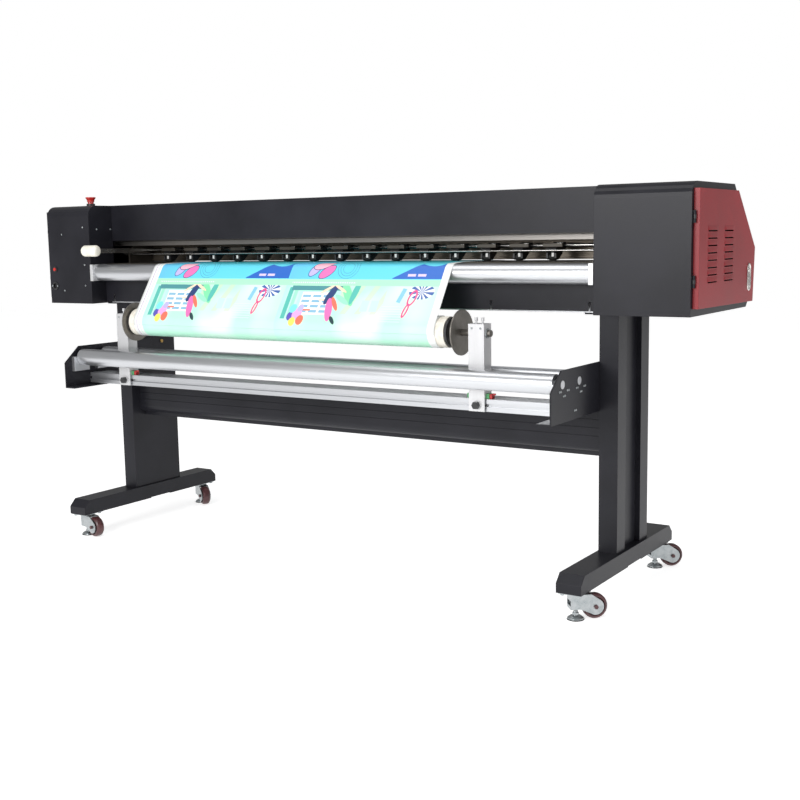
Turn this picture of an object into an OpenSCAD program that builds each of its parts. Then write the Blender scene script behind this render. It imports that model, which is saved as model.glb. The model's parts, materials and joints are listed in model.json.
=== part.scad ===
// Wide-format printer cutter on a wheeled stand with a front take-up unit.
// Millimetres, +Z up. The origin is at floor level in the middle of the machine's outer box.
// X runs along the machine, to the operator's right, and -Y is the operator's side.

/* [Stand] */
// Distance between the middles of the two legs
leg_centres = 2046; // [1400:1:2700]
// Leg width along X
leg_w = 61; // [50:1:90]
// Leg depth along Y
leg_d = 247; // [200:1:300]
// Foot width along X
foot_w = 80; // [70:1:120]
// Foot length along Y
foot_l = 736; // [640:1:900]
// Foot height
foot_h = 55; // [40:1:80]
// Underside of the foot above the floor
foot_z = 87; // [86:1:120]
// Underside of the machine body above the floor
body_z = 883; // [840:1:980]
// Height of the cross beam between the legs
cross_beam_h = 150; // [120:1:150]
// Depth of the cross beam
cross_beam_d = 80; // [60:1:110]
// Distance from the foot's middle to each caster's pivot
caster_y = 318; // [280:1:320]

/* [Casters] */
// Caster wheel diameter
wheel_d = 75; // [60:1:76]
// Caster wheel width
wheel_w = 30; // [24:1:34]
// Distance from the swivel's axis back to the axle
caster_trail = 56; // [54:1:60]
// Levelling pad diameter
pad_d = 50; // [40:1:54]
// Levelling stem diameter
stem_d = 12; // [10:1:14]

/* [Body] */
// Clear width between the two end caps
cap_gap = 2068; // [1500:1:2700]
// Width of the left end cap
left_cap_w = 229; // [200:1:280]
// Width of the right end cap
right_cap_w = 288; // [260:1:340]
// Height of the end caps
cap_h = 372; // [360:1:420]
// Thickness of the sheet metal covers
sheet_t = 2; // [1.5:0.1:3]
// Thickness of the side doors
door_t = 17; // [12:1:24]
// Height of the platen's top above the body's underside
platen_rise = 151; // [148:1:160]
// Diameter of the front guide tube
tube_d = 62; // [50:1:70]
// Spacing of the pinch rollers
pinch_pitch = 116; // [100:1:125]
// Number of pinch rollers
pinch_count = 15; // [9:1:15]
// Pinch roller diameter
pinch_d = 22; // [18:1:24]
// Feed roller diameter at its gritted lands
feed_d = 24; // [20:1:26]

/* [Take-up] */
// Diameter of the two tension rollers
roller_d = 60; // [50:1:64]
// Height of the tension rollers' axes above the floor
roller_z = 692; // [680:1:708]
// Height of the take-up roll's axis above the floor
roll_z = 826; // [813:1:838]
// Outer diameter of the wound roll
roll_d = 100; // [99:1:130]
// Width of the media
media_w = 1270; // [914:1:1300]
// Outer diameter of the cardboard core
core_d = 96; // [90:1:98]
// Bore of the cardboard core
core_bore = 84; // [76:1:85]
// Diameter of the chuck discs
disc_d = 140; // [120:1:150]
// Width of a take-up post
post_w = 54; // [40:1:60]

/* [Hidden] */
$fn = 48;

// Running clearance on radius between a shaft and its bore
run_gap = 0.08;
// Free clearance between parts that only pass each other
free_gap = 0.5;

// Stand
leg_y = 38;
leg_top_plate_t = 8;
leg_top_plate_w = 158;
leg_recess_w = 122;
leg_recess_d = 18;
foot_chamfer = 26;
foot_wall = 4;
leg_wall = 3;
foot_top = foot_z + foot_h;
leg_inner_x = (leg_centres - leg_w) / 2;
cross_beam_y = -45;
cross_beam_t = 5;
cross_beam_r = 26;
cross_beam_lip = 14;

// Casters: swivel angle of each wheel from +X
angle_fl = -12;
angle_fr = 42;
angle_rl = -32;
angle_rr = 42;
caster_x = leg_centres / 2;
caster_plate_t = 3;
caster_plate_w = 72;
caster_plate_l = 92;
caster_bolt_x = 52;
caster_bolt_y = 72;
caster_bolt_d = 8;
race_d = 48;
race_h = 6;
race_z = foot_z - caster_plate_t - race_h;
crown_t = 4;
crown_z = race_z - free_gap - crown_t;
king_d = 12;
king_flange_h = 4;
fork_t = 2.5;
fork_gap = wheel_w + 4;
wheel_lift = 1.5;
axle_z = wheel_d / 2 + wheel_lift;
axle_d = 8;
fork_front = -20;
fork_low = 34;
stem_boss_d = 24;
stem_boss_h = 12;
stem_top = 52;
pad_h = 11;
tyre_round = 5;

// Body
cap_front = -228;
cap_top = body_z + cap_h;
cap_in = cap_gap / 2;
left_out = cap_in + left_cap_w;
right_out = cap_in + right_cap_w;
bend_r = 40;
cap_rear_top = 146;
cap_rear_kink = 318;
cap_kink_z = 187;
cap_rear_low = 302;
cap_low_z = 22;
cover_front = -110;
cover_rear = 84;
cover_h = 135;
cover_low = cap_top - cover_h;
platen_top = body_z + platen_rise;
platen_t = 5;
platen_front = -150;
platen_rear = 110;
chassis_front = -128;
chassis_rear = 108;
chassis_top = platen_top - 31;
chassis_wall = 6;
tube_y = -195;
tube_z = platen_top - 33;
tube_block_t = 14;
tube_block_h = 62;
tube_block_front = -232;
tube_block_rear = -158;
apron_y = -155;
apron_top = platen_top - 12;
keyhole_pitch = 330;
keyhole_count = 7;

// Feed and pinch
pinch_y = -30;
media_t = 0.6;
feed_z = platen_top + 0.4 - feed_d / 2;
feed_shaft_d = 10;
land_l = 70;
sheet_gap = 0.7;
pinch_clear = 0.3;
pinch_z = platen_top + sheet_gap + media_t + pinch_clear + pinch_d / 2;
pinch_w = 20;
pinch_axle_d = 5;
lift_y = 20;
lift_z = platen_top + 48;
lift_d = 12;
arm_w = 34;
arm_front = -44;
arm_top = platen_top + 46;
plate_left_x = 28 - cap_in;
plate_right_x = cap_in - 72;
frame_plate_t = 8;
lever_x = 49 - cap_in;
lever_t = 6;
lever_half = 8;
grip_pin_d = 8;
grip_y = -268;
grip_d = 42;
grip_l = 70;
grip_z = platen_top + 50;

// Carriage
beam_front = -40;
beam_rear = 60;
beam_low = platen_top + 66;
beam_top = cap_top - 18;
beam_left_in = 120;
beam_right_in = 215;
rail_w = 15;
rail_t = 12;
rail_z = cap_top - 110;
tie_y = -50;
tie_z = platen_top + 33;
tie_d = 6;
beam_lip_y = -52;
beam_lip_h = 16;
park_x = cap_in + 134;
carriage_w = 180;
carriage_front = -104;
carriage_rear = beam_front - rail_t - 9;
carriage_low = platen_top + 12;
carriage_top = cap_top - 12;
head_l = 42;
head_w = 33;
head_gap = 2.5;
head_xs = [-42, 12];
cutter_dx = -68;
cutter_d = 18;
cutter_y = carriage_front + 19;
belt_z = cap_top - 50;
belt_t = 2;
belt_w = 10;
belt_y = beam_front - 8;
pulley_r = 14;
motor_s = 57;
drive_x = cap_in + beam_right_in + motor_s / 2;
idler_x = -cap_in - beam_left_in + 40;

// Take-up
end_plate_t = 5;
end_plate_x = leg_inner_x - end_plate_t;
end_plate_front = -418;
end_plate_rear = 30;
end_plate_low = 582;
end_plate_top = 733;
end_flange = 42;
front_roller_y = -344;
rear_roller_y = -230;
saddle_t = 14;
saddle_w = 84;
saddle_h = 50;
roller_end = end_plate_x - saddle_t - 1;
journal_d = 25;
roller_wall = 3;
cross_beam_z = end_plate_low - 2 - cross_beam_h;
rail_front = -300;
rail_depth = 85;
rail_low = 591;
rail_h = 38;
post_y = -308;
post_d = 45;
post_t = 3;
post_top = 855;
post_left_x = -797;
post_right_x = 692;
knob_z = rail_low + 19;
knob_stem_d = 7;
knob_w = 24;
knob_t = 12;
rail_slot_h = 9;
roll_y = post_y + post_d / 2;
media_left = -708;
media_right = media_left + media_w;
core_left = media_left - 27;
core_right = media_right + 30;
chuck_shaft_d = 20;

// Fittings on the end caps
estop_x = -cap_in - 66;
estop_y = -150;
estop_stem_d = 22;
button_x = -left_out + 31;
button_z = body_z + 131;
button_d = 12.8;
inlet_x = -left_out + 28;
inlet_z = body_z + 67;
latch_y = 240;
latch_z = body_z + 94;
latch_w = 34;
latch_l = 50;
latch_stem_d = 14;
hinge_y = cap_front + 9;
hinge_out = 5.5;
hinge_d = 8;
hinge_pin_d = 4;
hinge_leaf_t = 1;
hinge_half = 17;
hinge_mid = 6.5;
louvre_ys = [-100, 46];
cap_post_x = 56;
cap_post_y = -84;
cap_post_d = 8;
hinge_zs = [body_z + 97, body_z + 275];

// Place of the origin: the middle of the outer box
door_gap = 0.5;
latch_gap = 0.3;
latch_t = 3.2;
box_left = -left_out - door_gap - door_t;
box_right = right_out + door_gap + door_t + latch_gap + latch_t;
wheel_rear = (caster_trail + wheel_d / 2 - tyre_round) * sin(angle_rr) + wheel_w / 2 * cos(angle_rr);
box_rear = max(foot_l / 2, caster_y + wheel_rear);
mid_x = (box_left + box_right) / 2;
mid_y = (end_plate_front + box_rear) / 2;

black = [0.08, 0.08, 0.09];
silver = [0.8, 0.81, 0.83];
zinc = [0.6, 0.63, 0.65];
red = [0.55, 0.13, 0.16];
maroon = [0.4, 0.18, 0.18];
white = [0.93, 0.93, 0.91];

// Moves a piece from the stand's own centre lines to the origin.
module place() {
  translate([-mid_x, -mid_y, 0]) children();
}

// Box from its low corner to its high corner.
module span(low, high) {
  translate(low) cube(high - low);
}

// Extrudes an outline drawn in (Y, Z) along X from x0 to x1.
module along_x(x0, x1) {
  translate([x0, 0, 0]) rotate([90, 0, 90]) linear_extrude(height = x1 - x0) children();
}

// Cylinder along X from x0 to x1.
module rod_x(x0, x1, y, z, d) {
  translate([x0, y, z]) rotate([0, 90, 0]) cylinder(h = x1 - x0, d = d);
}

// Cylinder along Y from y0 to y1.
module rod_y(y0, y1, x, z, d) {
  translate([x, y0, z]) rotate([-90, 0, 0]) cylinder(h = y1 - y0, d = d);
}

// Rectangle between two corners, in two dimensions.
module rect(low, high) {
  translate(low) square(high - low);
}

// ---- Stand ----

module foot() {
  difference() {
    along_x(-foot_w / 2, foot_w / 2) polygon([
      [-foot_l / 2, foot_z], [foot_l / 2, foot_z],
      [foot_l / 2, foot_top - foot_chamfer], [foot_l / 2 - foot_chamfer, foot_top],
      [-foot_l / 2 + foot_chamfer, foot_top], [-foot_l / 2, foot_top - foot_chamfer]]);
    span([-foot_w, leg_y - 55, foot_z - 1], [foot_w, leg_y + 55, foot_z + 3]);
    for (end = [-1, 1], sx = [-1, 1], sy = [-1, 1])
      translate([sx * caster_bolt_x / 2, end * caster_y + sy * caster_bolt_y / 2, foot_z - 1])
        cylinder(h = 15, d = caster_bolt_d);
    along_x(-foot_w / 2 + foot_wall, foot_w / 2 - foot_wall) polygon([
      [-foot_l / 2 + foot_wall, foot_z + 2 * foot_wall], [foot_l / 2 - foot_wall, foot_z + 2 * foot_wall],
      [foot_l / 2 - foot_wall, foot_top - foot_chamfer - foot_wall],
      [foot_l / 2 - foot_chamfer - foot_wall, foot_top - foot_wall],
      [-foot_l / 2 + foot_chamfer + foot_wall, foot_top - foot_wall],
      [-foot_l / 2 + foot_wall, foot_top - foot_chamfer - foot_wall]]);
  }
}

module feet() {
  place() color(black)
    for (side = [-1, 1]) translate([side * leg_centres / 2, 0, 0]) foot();
}

// Two box sections joined by a recessed web, open inside, with a welded top plate.
module leg(side) {
  wall = leg_wall;
  web_x = side > 0 ? -leg_w / 2 + wall : -leg_w / 2 + leg_recess_d + wall;
  difference() {
    span([-leg_w / 2, leg_y - leg_d / 2, foot_top],
         [leg_w / 2, leg_y + leg_d / 2, body_z - leg_top_plate_t]);
    span([side > 0 ? leg_w / 2 - leg_recess_d : -leg_w / 2 - 1, leg_y - leg_recess_w / 2, foot_top - 1],
         [side > 0 ? leg_w / 2 + 1 : -leg_w / 2 + leg_recess_d, leg_y + leg_recess_w / 2, body_z]);
    span([web_x, leg_y - leg_recess_w / 2, foot_top + wall],
         [web_x + leg_w - leg_recess_d - 2 * wall, leg_y + leg_recess_w / 2,
           body_z - leg_top_plate_t - wall]);
    for (end = [-1, 1])
      span([-leg_w / 2 + wall, leg_y + (end > 0 ? leg_recess_w / 2 + wall : wall - leg_d / 2),
        foot_top + wall],
           [leg_w / 2 - wall, leg_y + (end > 0 ? leg_d / 2 - wall : -leg_recess_w / 2 - wall),
            body_z - leg_top_plate_t - wall]);
  }
  span([-leg_top_plate_w / 2, leg_y - leg_d / 2, body_z - leg_top_plate_t],
       [leg_top_plate_w / 2, leg_y + leg_d / 2 - 40, body_z]);
}

module legs() {
  place() color(black)
    for (side = [-1, 1]) translate([side * leg_centres / 2, 0, 0]) leg(side);
}

module cross_beam() {
  low = cross_beam_z;
  lip = cross_beam_lip;
  r = cross_beam_r;
  top = low + cross_beam_h;
  front = cross_beam_y;
  rear = cross_beam_y + cross_beam_d;
  place() color(black) difference() {
    along_x(-leg_inner_x, leg_inner_x) difference() {
      polygon(concat(
        [[rear, low], [rear, top], [front, top]],
        [for (a = [180 : 15 : 270]) [front + r + r * cos(a), low + lip + r + r * sin(a)]],
        [[front + r + 2, low + lip], [front + r + 2, low]]));
      rect([front + cross_beam_t, low + lip + r + cross_beam_t], [rear - cross_beam_t, top - cross_beam_t]);
      rect([front + r + cross_beam_t, low + lip + cross_beam_t], [rear - cross_beam_t, low + lip + r]);
    }
    for (i = [1 : 4])
      span([-leg_inner_x - 1, front - 1, low + lip + r + i * 26],
           [leg_inner_x + 1, front + 1.5, low + lip + r + i * 26 + 2]);
  }
}

// ---- Casters ----

function caster_angle(name) =
  name == "fl" ? angle_fl : name == "fr" ? angle_fr : name == "rl" ? angle_rl : angle_rr;

module caster_place(name) {
  sx = name == "fl" || name == "rl" ? -1 : 1;
  sy = name == "fl" || name == "fr" ? -1 : 1;
  place() translate([sx * caster_x, sy * caster_y, 0]) rotate(caster_angle(name)) children();
}

module caster_plates() {
  plate_z = foot_z - caster_plate_t;
  place() color(zinc) for (sx = [-1, 1], sy = [-1, 1]) translate([sx * caster_x, sy * caster_y, 0]) {
    span([-caster_plate_w / 2, -caster_plate_l / 2, plate_z], [caster_plate_w / 2,
      caster_plate_l / 2, foot_z]);
    translate([0, 0, race_z]) cylinder(h = race_h + 1, d = race_d);
    translate([0, 0, crown_z - king_flange_h - 1])
      cylinder(h = plate_z - crown_z + king_flange_h + 2, d = king_d);
    translate([0, 0, crown_z - king_flange_h - 1]) cylinder(h = king_flange_h, d = king_d + 8);
    for (bx = [-1, 1], by = [-1, 1]) translate([bx * caster_bolt_x / 2, by * caster_bolt_y / 2, 0]) {
      translate([0, 0, race_z]) cylinder(h = race_h, d = 13, $fn = 6);
      translate([0, 0, foot_z - 1]) cylinder(h = 11, d = caster_bolt_d - 0.2);
    }
  }
}

// Cheek of the fork: a pressed wall from the swivel back over the upper part of the wheel.
module fork_side() {
  rotate([90, 0, 0]) linear_extrude(height = fork_t, center = true) difference() {
    union() {
      polygon([[fork_front, crown_z + crown_t], [caster_trail - 14, crown_z + crown_t],
        [caster_trail + 12, axle_z + 21], [caster_trail - 6, axle_z - 23], [10, fork_low],
        [fork_front, fork_low]]);
      translate([caster_trail, axle_z]) circle(d = 48);
    }
    translate([caster_trail, axle_z]) circle(d = axle_d + 2 * run_gap);
  }
}

module fork(name) {
  side = fork_gap / 2 + fork_t;
  caster_place(name) color(zinc) difference() {
    union() {
      for (s = [-1, 1]) translate([0, s * (fork_gap + fork_t) / 2, 0]) fork_side();
      translate([0, 0, crown_z]) cylinder(h = crown_t, d = race_d - 2);
      span([fork_front, -side, crown_z - 14], [fork_front + fork_t, side, crown_z + crown_t]);
      translate([0, 0, fork_low]) cylinder(h = stem_boss_h, d = stem_boss_d);
      span([fork_front, -side, fork_low], [10, side, fork_low + stem_boss_h - 2]);
    }
    translate([0, 0, crown_z - 1]) cylinder(h = crown_t + 2, d = king_d + 2 * run_gap);
    translate([0, 0, fork_low - 1]) cylinder(h = stem_boss_h + 2, d = stem_d + 2 * run_gap);
  }
}

module wheel(name) {
  tread_r = wheel_d / 2;
  side = wheel_w / 2;
  hub_r = tread_r - 9;
  boss_r = 11;
  half = [[boss_r, side - 1], [boss_r, side - 6], [hub_r - 3, side - 6], [hub_r, side],
    [tread_r - tyre_round, side], [tread_r - 1, side - 4], [tread_r, side - 9]];
  back = [for (i = [len(half) - 1 : -1 : 0]) [half[i][0], -half[i][1]]];
  caster_place(name) color(maroon) translate([caster_trail, 0, axle_z]) rotate([90, 0, 0]) {
    rotate_extrude($fn = 64)
      polygon(concat([[axle_d / 2 - 1, side - 1]], half, back, [[axle_d / 2 - 1, 1 - side]]));
    cylinder(h = fork_gap + 2 * fork_t + 2, d = axle_d, center = true);
    for (s = [-1, 1]) translate([0, 0, s * (fork_gap / 2 + fork_t + 3)])
      cylinder(h = 5, d = 13, center = true, $fn = 6);
  }
}

module pad(name) {
  caster_place(name) color(zinc) {
    rotate_extrude($fn = 64) polygon([
      [0, 0], [pad_d / 2 - 1, 0], [pad_d / 2, 2], [pad_d / 2 - 1, 6], [pad_d / 2 - 8, pad_h], [0, pad_h]]);
    cylinder(h = stem_top, d = stem_d);
    translate([0, 0, pad_h + 3]) cylinder(h = 7, d = 20, $fn = 6);
  }
}

module fork_fl() { fork("fl"); }
module fork_fr() { fork("fr"); }
module fork_rl() { fork("rl"); }
module fork_rr() { fork("rr"); }
module wheel_fl() { wheel("fl"); }
module wheel_fr() { wheel("fr"); }
module wheel_rl() { wheel("rl"); }
module wheel_rr() { wheel("rr"); }
module pad_fl() { pad("fl"); }
module pad_fr() { pad("fr"); }
module pad_rl() { pad("rl"); }
module pad_rr() { pad("rr"); }

// ---- Body frame ----

module chassis_beam() {
  x = cap_in - free_gap;
  place() color(silver) along_x(-x, x) difference() {
    rect([chassis_front, body_z], [chassis_rear, chassis_top]);
    for (i = [0, 1]) {
      w = (chassis_rear - chassis_front - 3 * chassis_wall) / 2;
      y = chassis_front + chassis_wall + i * (w + chassis_wall);
      rect([y, body_z + chassis_wall], [y + w, chassis_top - chassis_wall]);
    }
    for (z = [body_z + 30, body_z + 62, body_z + 94]) rect([chassis_rear - 3, z], [chassis_rear + 1,
      z + 8]);
  }
}

module apron() {
  x = cap_in - free_gap;
  place() color(black) difference() {
    union() {
      along_x(-x, x) rect([apron_y, body_z + 6], [apron_y + sheet_t, apron_top]);
      along_x(-x, x) rect([apron_y, body_z + 100], [chassis_front, body_z + 100 + sheet_t]);
    }
    for (i = [0 : keyhole_count - 1]) {
      kx = (i - (keyhole_count - 1) / 2) * keyhole_pitch;
      rod_y(apron_y - 1, apron_y + sheet_t + 1, kx, body_z + 29, 10);
      span([kx - 3, apron_y - 1, body_z], [kx + 3, apron_y + sheet_t + 1, body_z + 29]);
    }
  }
}

module platen() {
  x = cap_in - free_gap;
  hole_pitch = pinch_pitch / 2;
  place() color(silver) difference() {
    union() {
      along_x(-x, x) polygon([
        [platen_front + 6, platen_top], [platen_rear, platen_top], [platen_rear, platen_top - platen_t],
        [platen_front + 5, platen_top - platen_t], [platen_front + 5, platen_top - 22],
        [platen_front, platen_top - 22], [platen_front, platen_top - 5]]);
      for (y = [-104, 60]) along_x(-x, x) rect([y, chassis_top], [y + 5, platen_top - 2]);
    }
    for (i = [0 : pinch_count - 1]) {
      cx = (i - (pinch_count - 1) / 2) * pinch_pitch;
      span([cx - land_l / 2 - 1, pinch_y - feed_d / 2 - 1.5, platen_top - platen_t - 1],
           [cx + land_l / 2 + 1, pinch_y + feed_d / 2 + 1.5, platen_top + 1]);
    }
    for (i = [-pinch_count : 1 : pinch_count], y = [-88, 24])
      translate([i * hole_pitch, y, platen_top - platen_t - 1]) cylinder(h = platen_t + 2, d = 3);
  }
}

// Bearing plates at the two ends of the pinch line.
module frame_plate(x) {
  difference() {
    along_x(x, x + frame_plate_t) polygon([
      [-56, platen_top], [70, platen_top], [70, beam_low], [-30, beam_low], [-56, beam_low - 24]]);
    rod_x(x - 1, x + frame_plate_t + 1, lift_y, lift_z, lift_d + 2 * run_gap);
    rod_x(x - 1, x + frame_plate_t + 1, tie_y, tie_z, tie_d + 2 * run_gap);
  }
  difference() {
    span([x, pinch_y - 12, chassis_top], [x + frame_plate_t, pinch_y + 12, platen_top - platen_t]);
    rod_x(x - 1, x + frame_plate_t + 1, pinch_y, feed_z, feed_shaft_d + 2 * run_gap);
  }
}

module frame_plates() {
  place() color([0.2, 0.2, 0.19]) {
    frame_plate(plate_left_x);
    frame_plate(plate_right_x);
  }
}

module guide_tube() {
  x = cap_in - tube_block_t;
  place() color(silver) difference() {
    rod_x(-x, x, tube_y, tube_z, tube_d);
    rod_x(-x - 1, x + 1, tube_y, tube_z, tube_d - 6);
  }
}

module tube_blocks() {
  place() color(white) for (side = [-1, 1]) {
    x = side * (cap_in - tube_block_t / 2);
    translate([x, (tube_block_front + tube_block_rear) / 2, tube_z])
      cube([tube_block_t, tube_block_rear - tube_block_front, tube_block_h], center = true);
    rod_x(x - (side > 0 ? 20 : 0), x + (side > 0 ? 0 : 20), tube_y, tube_z, tube_d - 7);
  }
}

// ---- Beam and carriage ----

module top_beam() {
  place() color(silver) {
    span([-cap_in, beam_lip_y, beam_low], [cap_in, beam_front, beam_low + beam_lip_h]);
    along_x(-cap_in - beam_left_in, cap_in + beam_right_in) difference() {
      rect([beam_front, beam_low], [beam_rear, beam_top]);
      rect([beam_front + 8, beam_low + 8], [beam_rear - 8, (beam_low + beam_top) / 2 - 3]);
      rect([beam_front + 8, (beam_low + beam_top) / 2 + 3], [beam_rear - 8, beam_top - 8]);
      rect([beam_rear - 4, beam_low + 30], [beam_rear + 1, beam_low + 38]);
      rect([beam_rear - 4, beam_top - 38], [beam_rear + 1, beam_top - 30]);
    }
  }
}

module top_cover() {
  x = cap_in - free_gap;
  place() color(black) along_x(-x, x) difference() {
    rect([cover_front, cover_low], [cover_rear, cap_top]);
    rect([cover_front + sheet_t, cover_low - 1], [cover_rear - sheet_t, cap_top - sheet_t]);
  }
}

module guide_rail() {
  place() color(silver) difference() {
    span([-cap_in - beam_left_in + 30, beam_front - rail_t, rail_z],
         [cap_in + beam_right_in - 10, beam_front, rail_z + rail_w]);
    for (z = [rail_z - 0.5, rail_z + rail_w - 2])
      span([-cap_in - beam_left_in, beam_front - 8, z],
           [cap_in + beam_right_in, beam_front - 5, z + 2.5]);
  }
  place() color(silver) {
    rod_y(belt_y - belt_w / 2 - 1, belt_y + belt_w / 2 + 1, idler_x, belt_z, 2 * pulley_r - 1);
    rod_y(belt_y, beam_front, idler_x, belt_z, 8);
    rod_x(-cap_in, cap_in, tie_y, tie_z, tie_d);
  }
}

module carriage() {
  w = carriage_w / 2;
  place() translate([park_x, 0, 0]) color([0.16, 0.16, 0.17]) {
    difference() {
      span([-w, carriage_front, carriage_low], [w, carriage_rear, carriage_top]);
      span([-w + 3, carriage_front + 3, carriage_low - 1], [w - 3, carriage_rear - 6, carriage_top - 3]);
    }
    difference() {
      span([-w + 2, carriage_front + 2, platen_top + 32], [w - 2, carriage_rear - 5, platen_top + 44]);
      translate([cutter_dx, cutter_y, platen_top]) cylinder(h = 60, d = cutter_d + 2 * run_gap);
      for (x = head_xs) span([x, carriage_front + 4, platen_top], [x + head_l,
        carriage_front + 4 + head_w, platen_top + 60]);
    }
    for (x = [-60, 28]) difference() {
      span([x, carriage_rear, rail_z - 12], [x + 32, beam_front - 1.5, rail_z + rail_w + 12]);
      span([x - 1, beam_front - rail_t - 0.5, rail_z - 0.5], [x + 33, beam_front, rail_z + rail_w + 0.5]);
    }
    span([-14, carriage_rear, belt_z - pulley_r - belt_t - 5], [14, belt_y - belt_w / 2 - 0.4,
      belt_z - pulley_r + 4]);
  }
}

module print_heads() {
  place() translate([park_x, 0, 0]) color([0.55, 0.56, 0.58])
    for (x = head_xs) {
      span([x, carriage_front + 4, carriage_low - 6], [x + head_l, carriage_front + 4 + head_w,
        carriage_low + 70]);
      span([x + 4, carriage_front + 8, platen_top + head_gap], [x + head_l - 4,
        carriage_front + head_w, carriage_low - 6]);
    }
}

module cutter() {
  place() translate([park_x + cutter_dx, cutter_y, 0]) color([0.2, 0.25, 0.45]) {
    translate([0, 0, platen_top + 6]) cylinder(h = 6, d1 = 6, d2 = 14);
    translate([0, 0, platen_top + 12]) cylinder(h = 60, d = cutter_d);
    translate([0, 0, platen_top + 72]) cylinder(h = 10, d = 24);
    translate([0, 0, platen_top + 3]) cylinder(h = 4, d = 2);
  }
}

// Outline of the belt's loop at a given radius round both pulleys, in (X, Z).
module belt_loop(r) {
  rect([idler_x, belt_z - r], [drive_x, belt_z + r]);
  for (x = [idler_x, drive_x]) translate([x, belt_z]) circle(r = r);
}

module carriage_belt() {
  place() color([0.05, 0.05, 0.05])
    translate([0, belt_y + belt_w / 2, 0]) rotate([90, 0, 0]) linear_extrude(height = belt_w) difference() {
      belt_loop(pulley_r + belt_t);
      belt_loop(pulley_r);
    }
}

module drive_pulley() {
  place() color(silver) {
    rod_y(belt_y - belt_w / 2 - 1, belt_y + belt_w / 2 + 1, drive_x, belt_z, 2 * pulley_r - 1);
    for (y = [belt_y - belt_w / 2 - 3, belt_y + belt_w / 2 + 1]) rod_y(y, y + 2, drive_x, belt_z,
      2 * pulley_r - 0.8);
    rod_y(belt_y - belt_w / 2 - 6, belt_y + belt_w / 2 + 28, drive_x, belt_z, 8);
  }
}

module drive_motors() {
  s = motor_s;
  place() color([0.12, 0.12, 0.13]) {
    difference() {
      span([drive_x - s / 2, belt_y + 9, belt_z - s / 2], [drive_x + s / 2, belt_y + 81,
        belt_z + s / 2 - 3]);
      rod_y(belt_y, belt_y + 34, drive_x, belt_z, 8 + 2 * run_gap);
    }
    difference() {
      span([cap_in + sheet_t, pinch_y - s / 2, feed_z - s / 2], [cap_in + 66, pinch_y + s / 2,
        feed_z + s / 2 - 19]);
      rod_x(cap_in, cap_in + 60, pinch_y, feed_z, feed_shaft_d + 2 * run_gap);
    }
  }
}

// ---- Feed and pinch ----

module feed_roller() {
  place() color([0.45, 0.46, 0.48]) {
    rod_x(plate_left_x, cap_in + 50, pinch_y, feed_z, feed_shaft_d);
    for (i = [0 : pinch_count - 1])
      rod_x((i - (pinch_count - 1) / 2) * pinch_pitch - land_l / 2,
            (i - (pinch_count - 1) / 2) * pinch_pitch + land_l / 2, pinch_y, feed_z, feed_d);
  }
}

module pinch_arm() {
  gap = pinch_w / 2 + 1;
  difference() {
    along_x(-arm_w / 2, arm_w / 2) polygon([
      [arm_front, pinch_z + 12], [arm_front, pinch_z - 3], [pinch_y - 4, pinch_z - 8], [pinch_y + 6,
        pinch_z - 8],
      [lift_y - 6, lift_z - 14], [lift_y + 10, lift_z - 10], [lift_y + 10, lift_z + 10], [lift_y - 8,
        lift_z + 10],
      [arm_front + 14, arm_top], [arm_front, arm_top - 8], [arm_front, pinch_z + 20], [arm_front + 9,
        pinch_z + 16]]);
    span([-gap, arm_front - 1, pinch_z - 12], [gap, pinch_y + pinch_d / 2 + 1, pinch_z + pinch_d / 2 + 1]);
    rod_x(-arm_w, arm_w, lift_y, lift_z, lift_d);
    rod_x(-arm_w, arm_w, pinch_y, pinch_z, pinch_axle_d + 2 * run_gap);
  }
}

module pinch_arms() {
  place() color(black)
    for (i = [0 : pinch_count - 1]) translate([(i - (pinch_count - 1) / 2) * pinch_pitch, 0,
      0]) pinch_arm();
}

module pinch_rollers() {
  place() color([0.15, 0.15, 0.16])
    for (i = [0 : pinch_count - 1]) {
      cx = (i - (pinch_count - 1) / 2) * pinch_pitch;
      rod_x(cx - pinch_w / 2, cx + pinch_w / 2, pinch_y, pinch_z, pinch_d);
      rod_x(cx - arm_w / 2, cx + arm_w / 2, pinch_y, pinch_z, pinch_axle_d);
    }
}

module lift_shaft() {
  place() color(silver) {
    rod_x(plate_left_x, plate_right_x + frame_plate_t, lift_y, lift_z, lift_d);
    translate([lever_x, 0, 0]) difference() {
      along_x(-lever_t / 2, lever_t / 2) polygon([
        [lift_y + 13, lift_z - 11], [lift_y + 13, lift_z + lever_half],
        [grip_y - lever_half, grip_z + lever_half], [grip_y - lever_half, grip_z - lever_half],
        [lift_y - 20, lift_z - 11]]);
      rod_x(-lever_t, lever_t, grip_y, grip_z, grip_pin_d);
    }
  }
}

module lever_grip() {
  place() color(white) {
    rod_x(lever_x + lever_t / 2, lever_x + lever_t / 2 + grip_l / 2, grip_y, grip_z, grip_d);
    rod_x(lever_x - lever_t / 2 - grip_l / 2, lever_x - lever_t / 2, grip_y, grip_z, grip_d);
    rod_x(lever_x - lever_t, lever_x + lever_t, grip_y, grip_z, grip_pin_d);
  }
}

// ---- Inside the right cap and the left cap ----

module capping_station() {
  z = platen_top - 40;
  place() translate([park_x, 0, 0]) color([0.3, 0.3, 0.31]) difference() {
    union() {
      span([-64, carriage_front - 2, z], [64, carriage_front + head_w + 8, z + 30]);
      for (x = head_xs) span([x - 2, carriage_front + 2, z + 29], [x + head_l + 2,
        carriage_front + head_w + 4, z + 41]);
    }
    for (x = head_xs) span([x, carriage_front + 4, z + 35], [x + head_l, carriage_front + head_w + 2,
      z + 42]);
    for (x = [-cap_post_x, cap_post_x]) translate([x, cap_post_y, z - 1]) cylinder(h = 40,
      d = cap_post_d + 2 * run_gap);
  }
}

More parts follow.
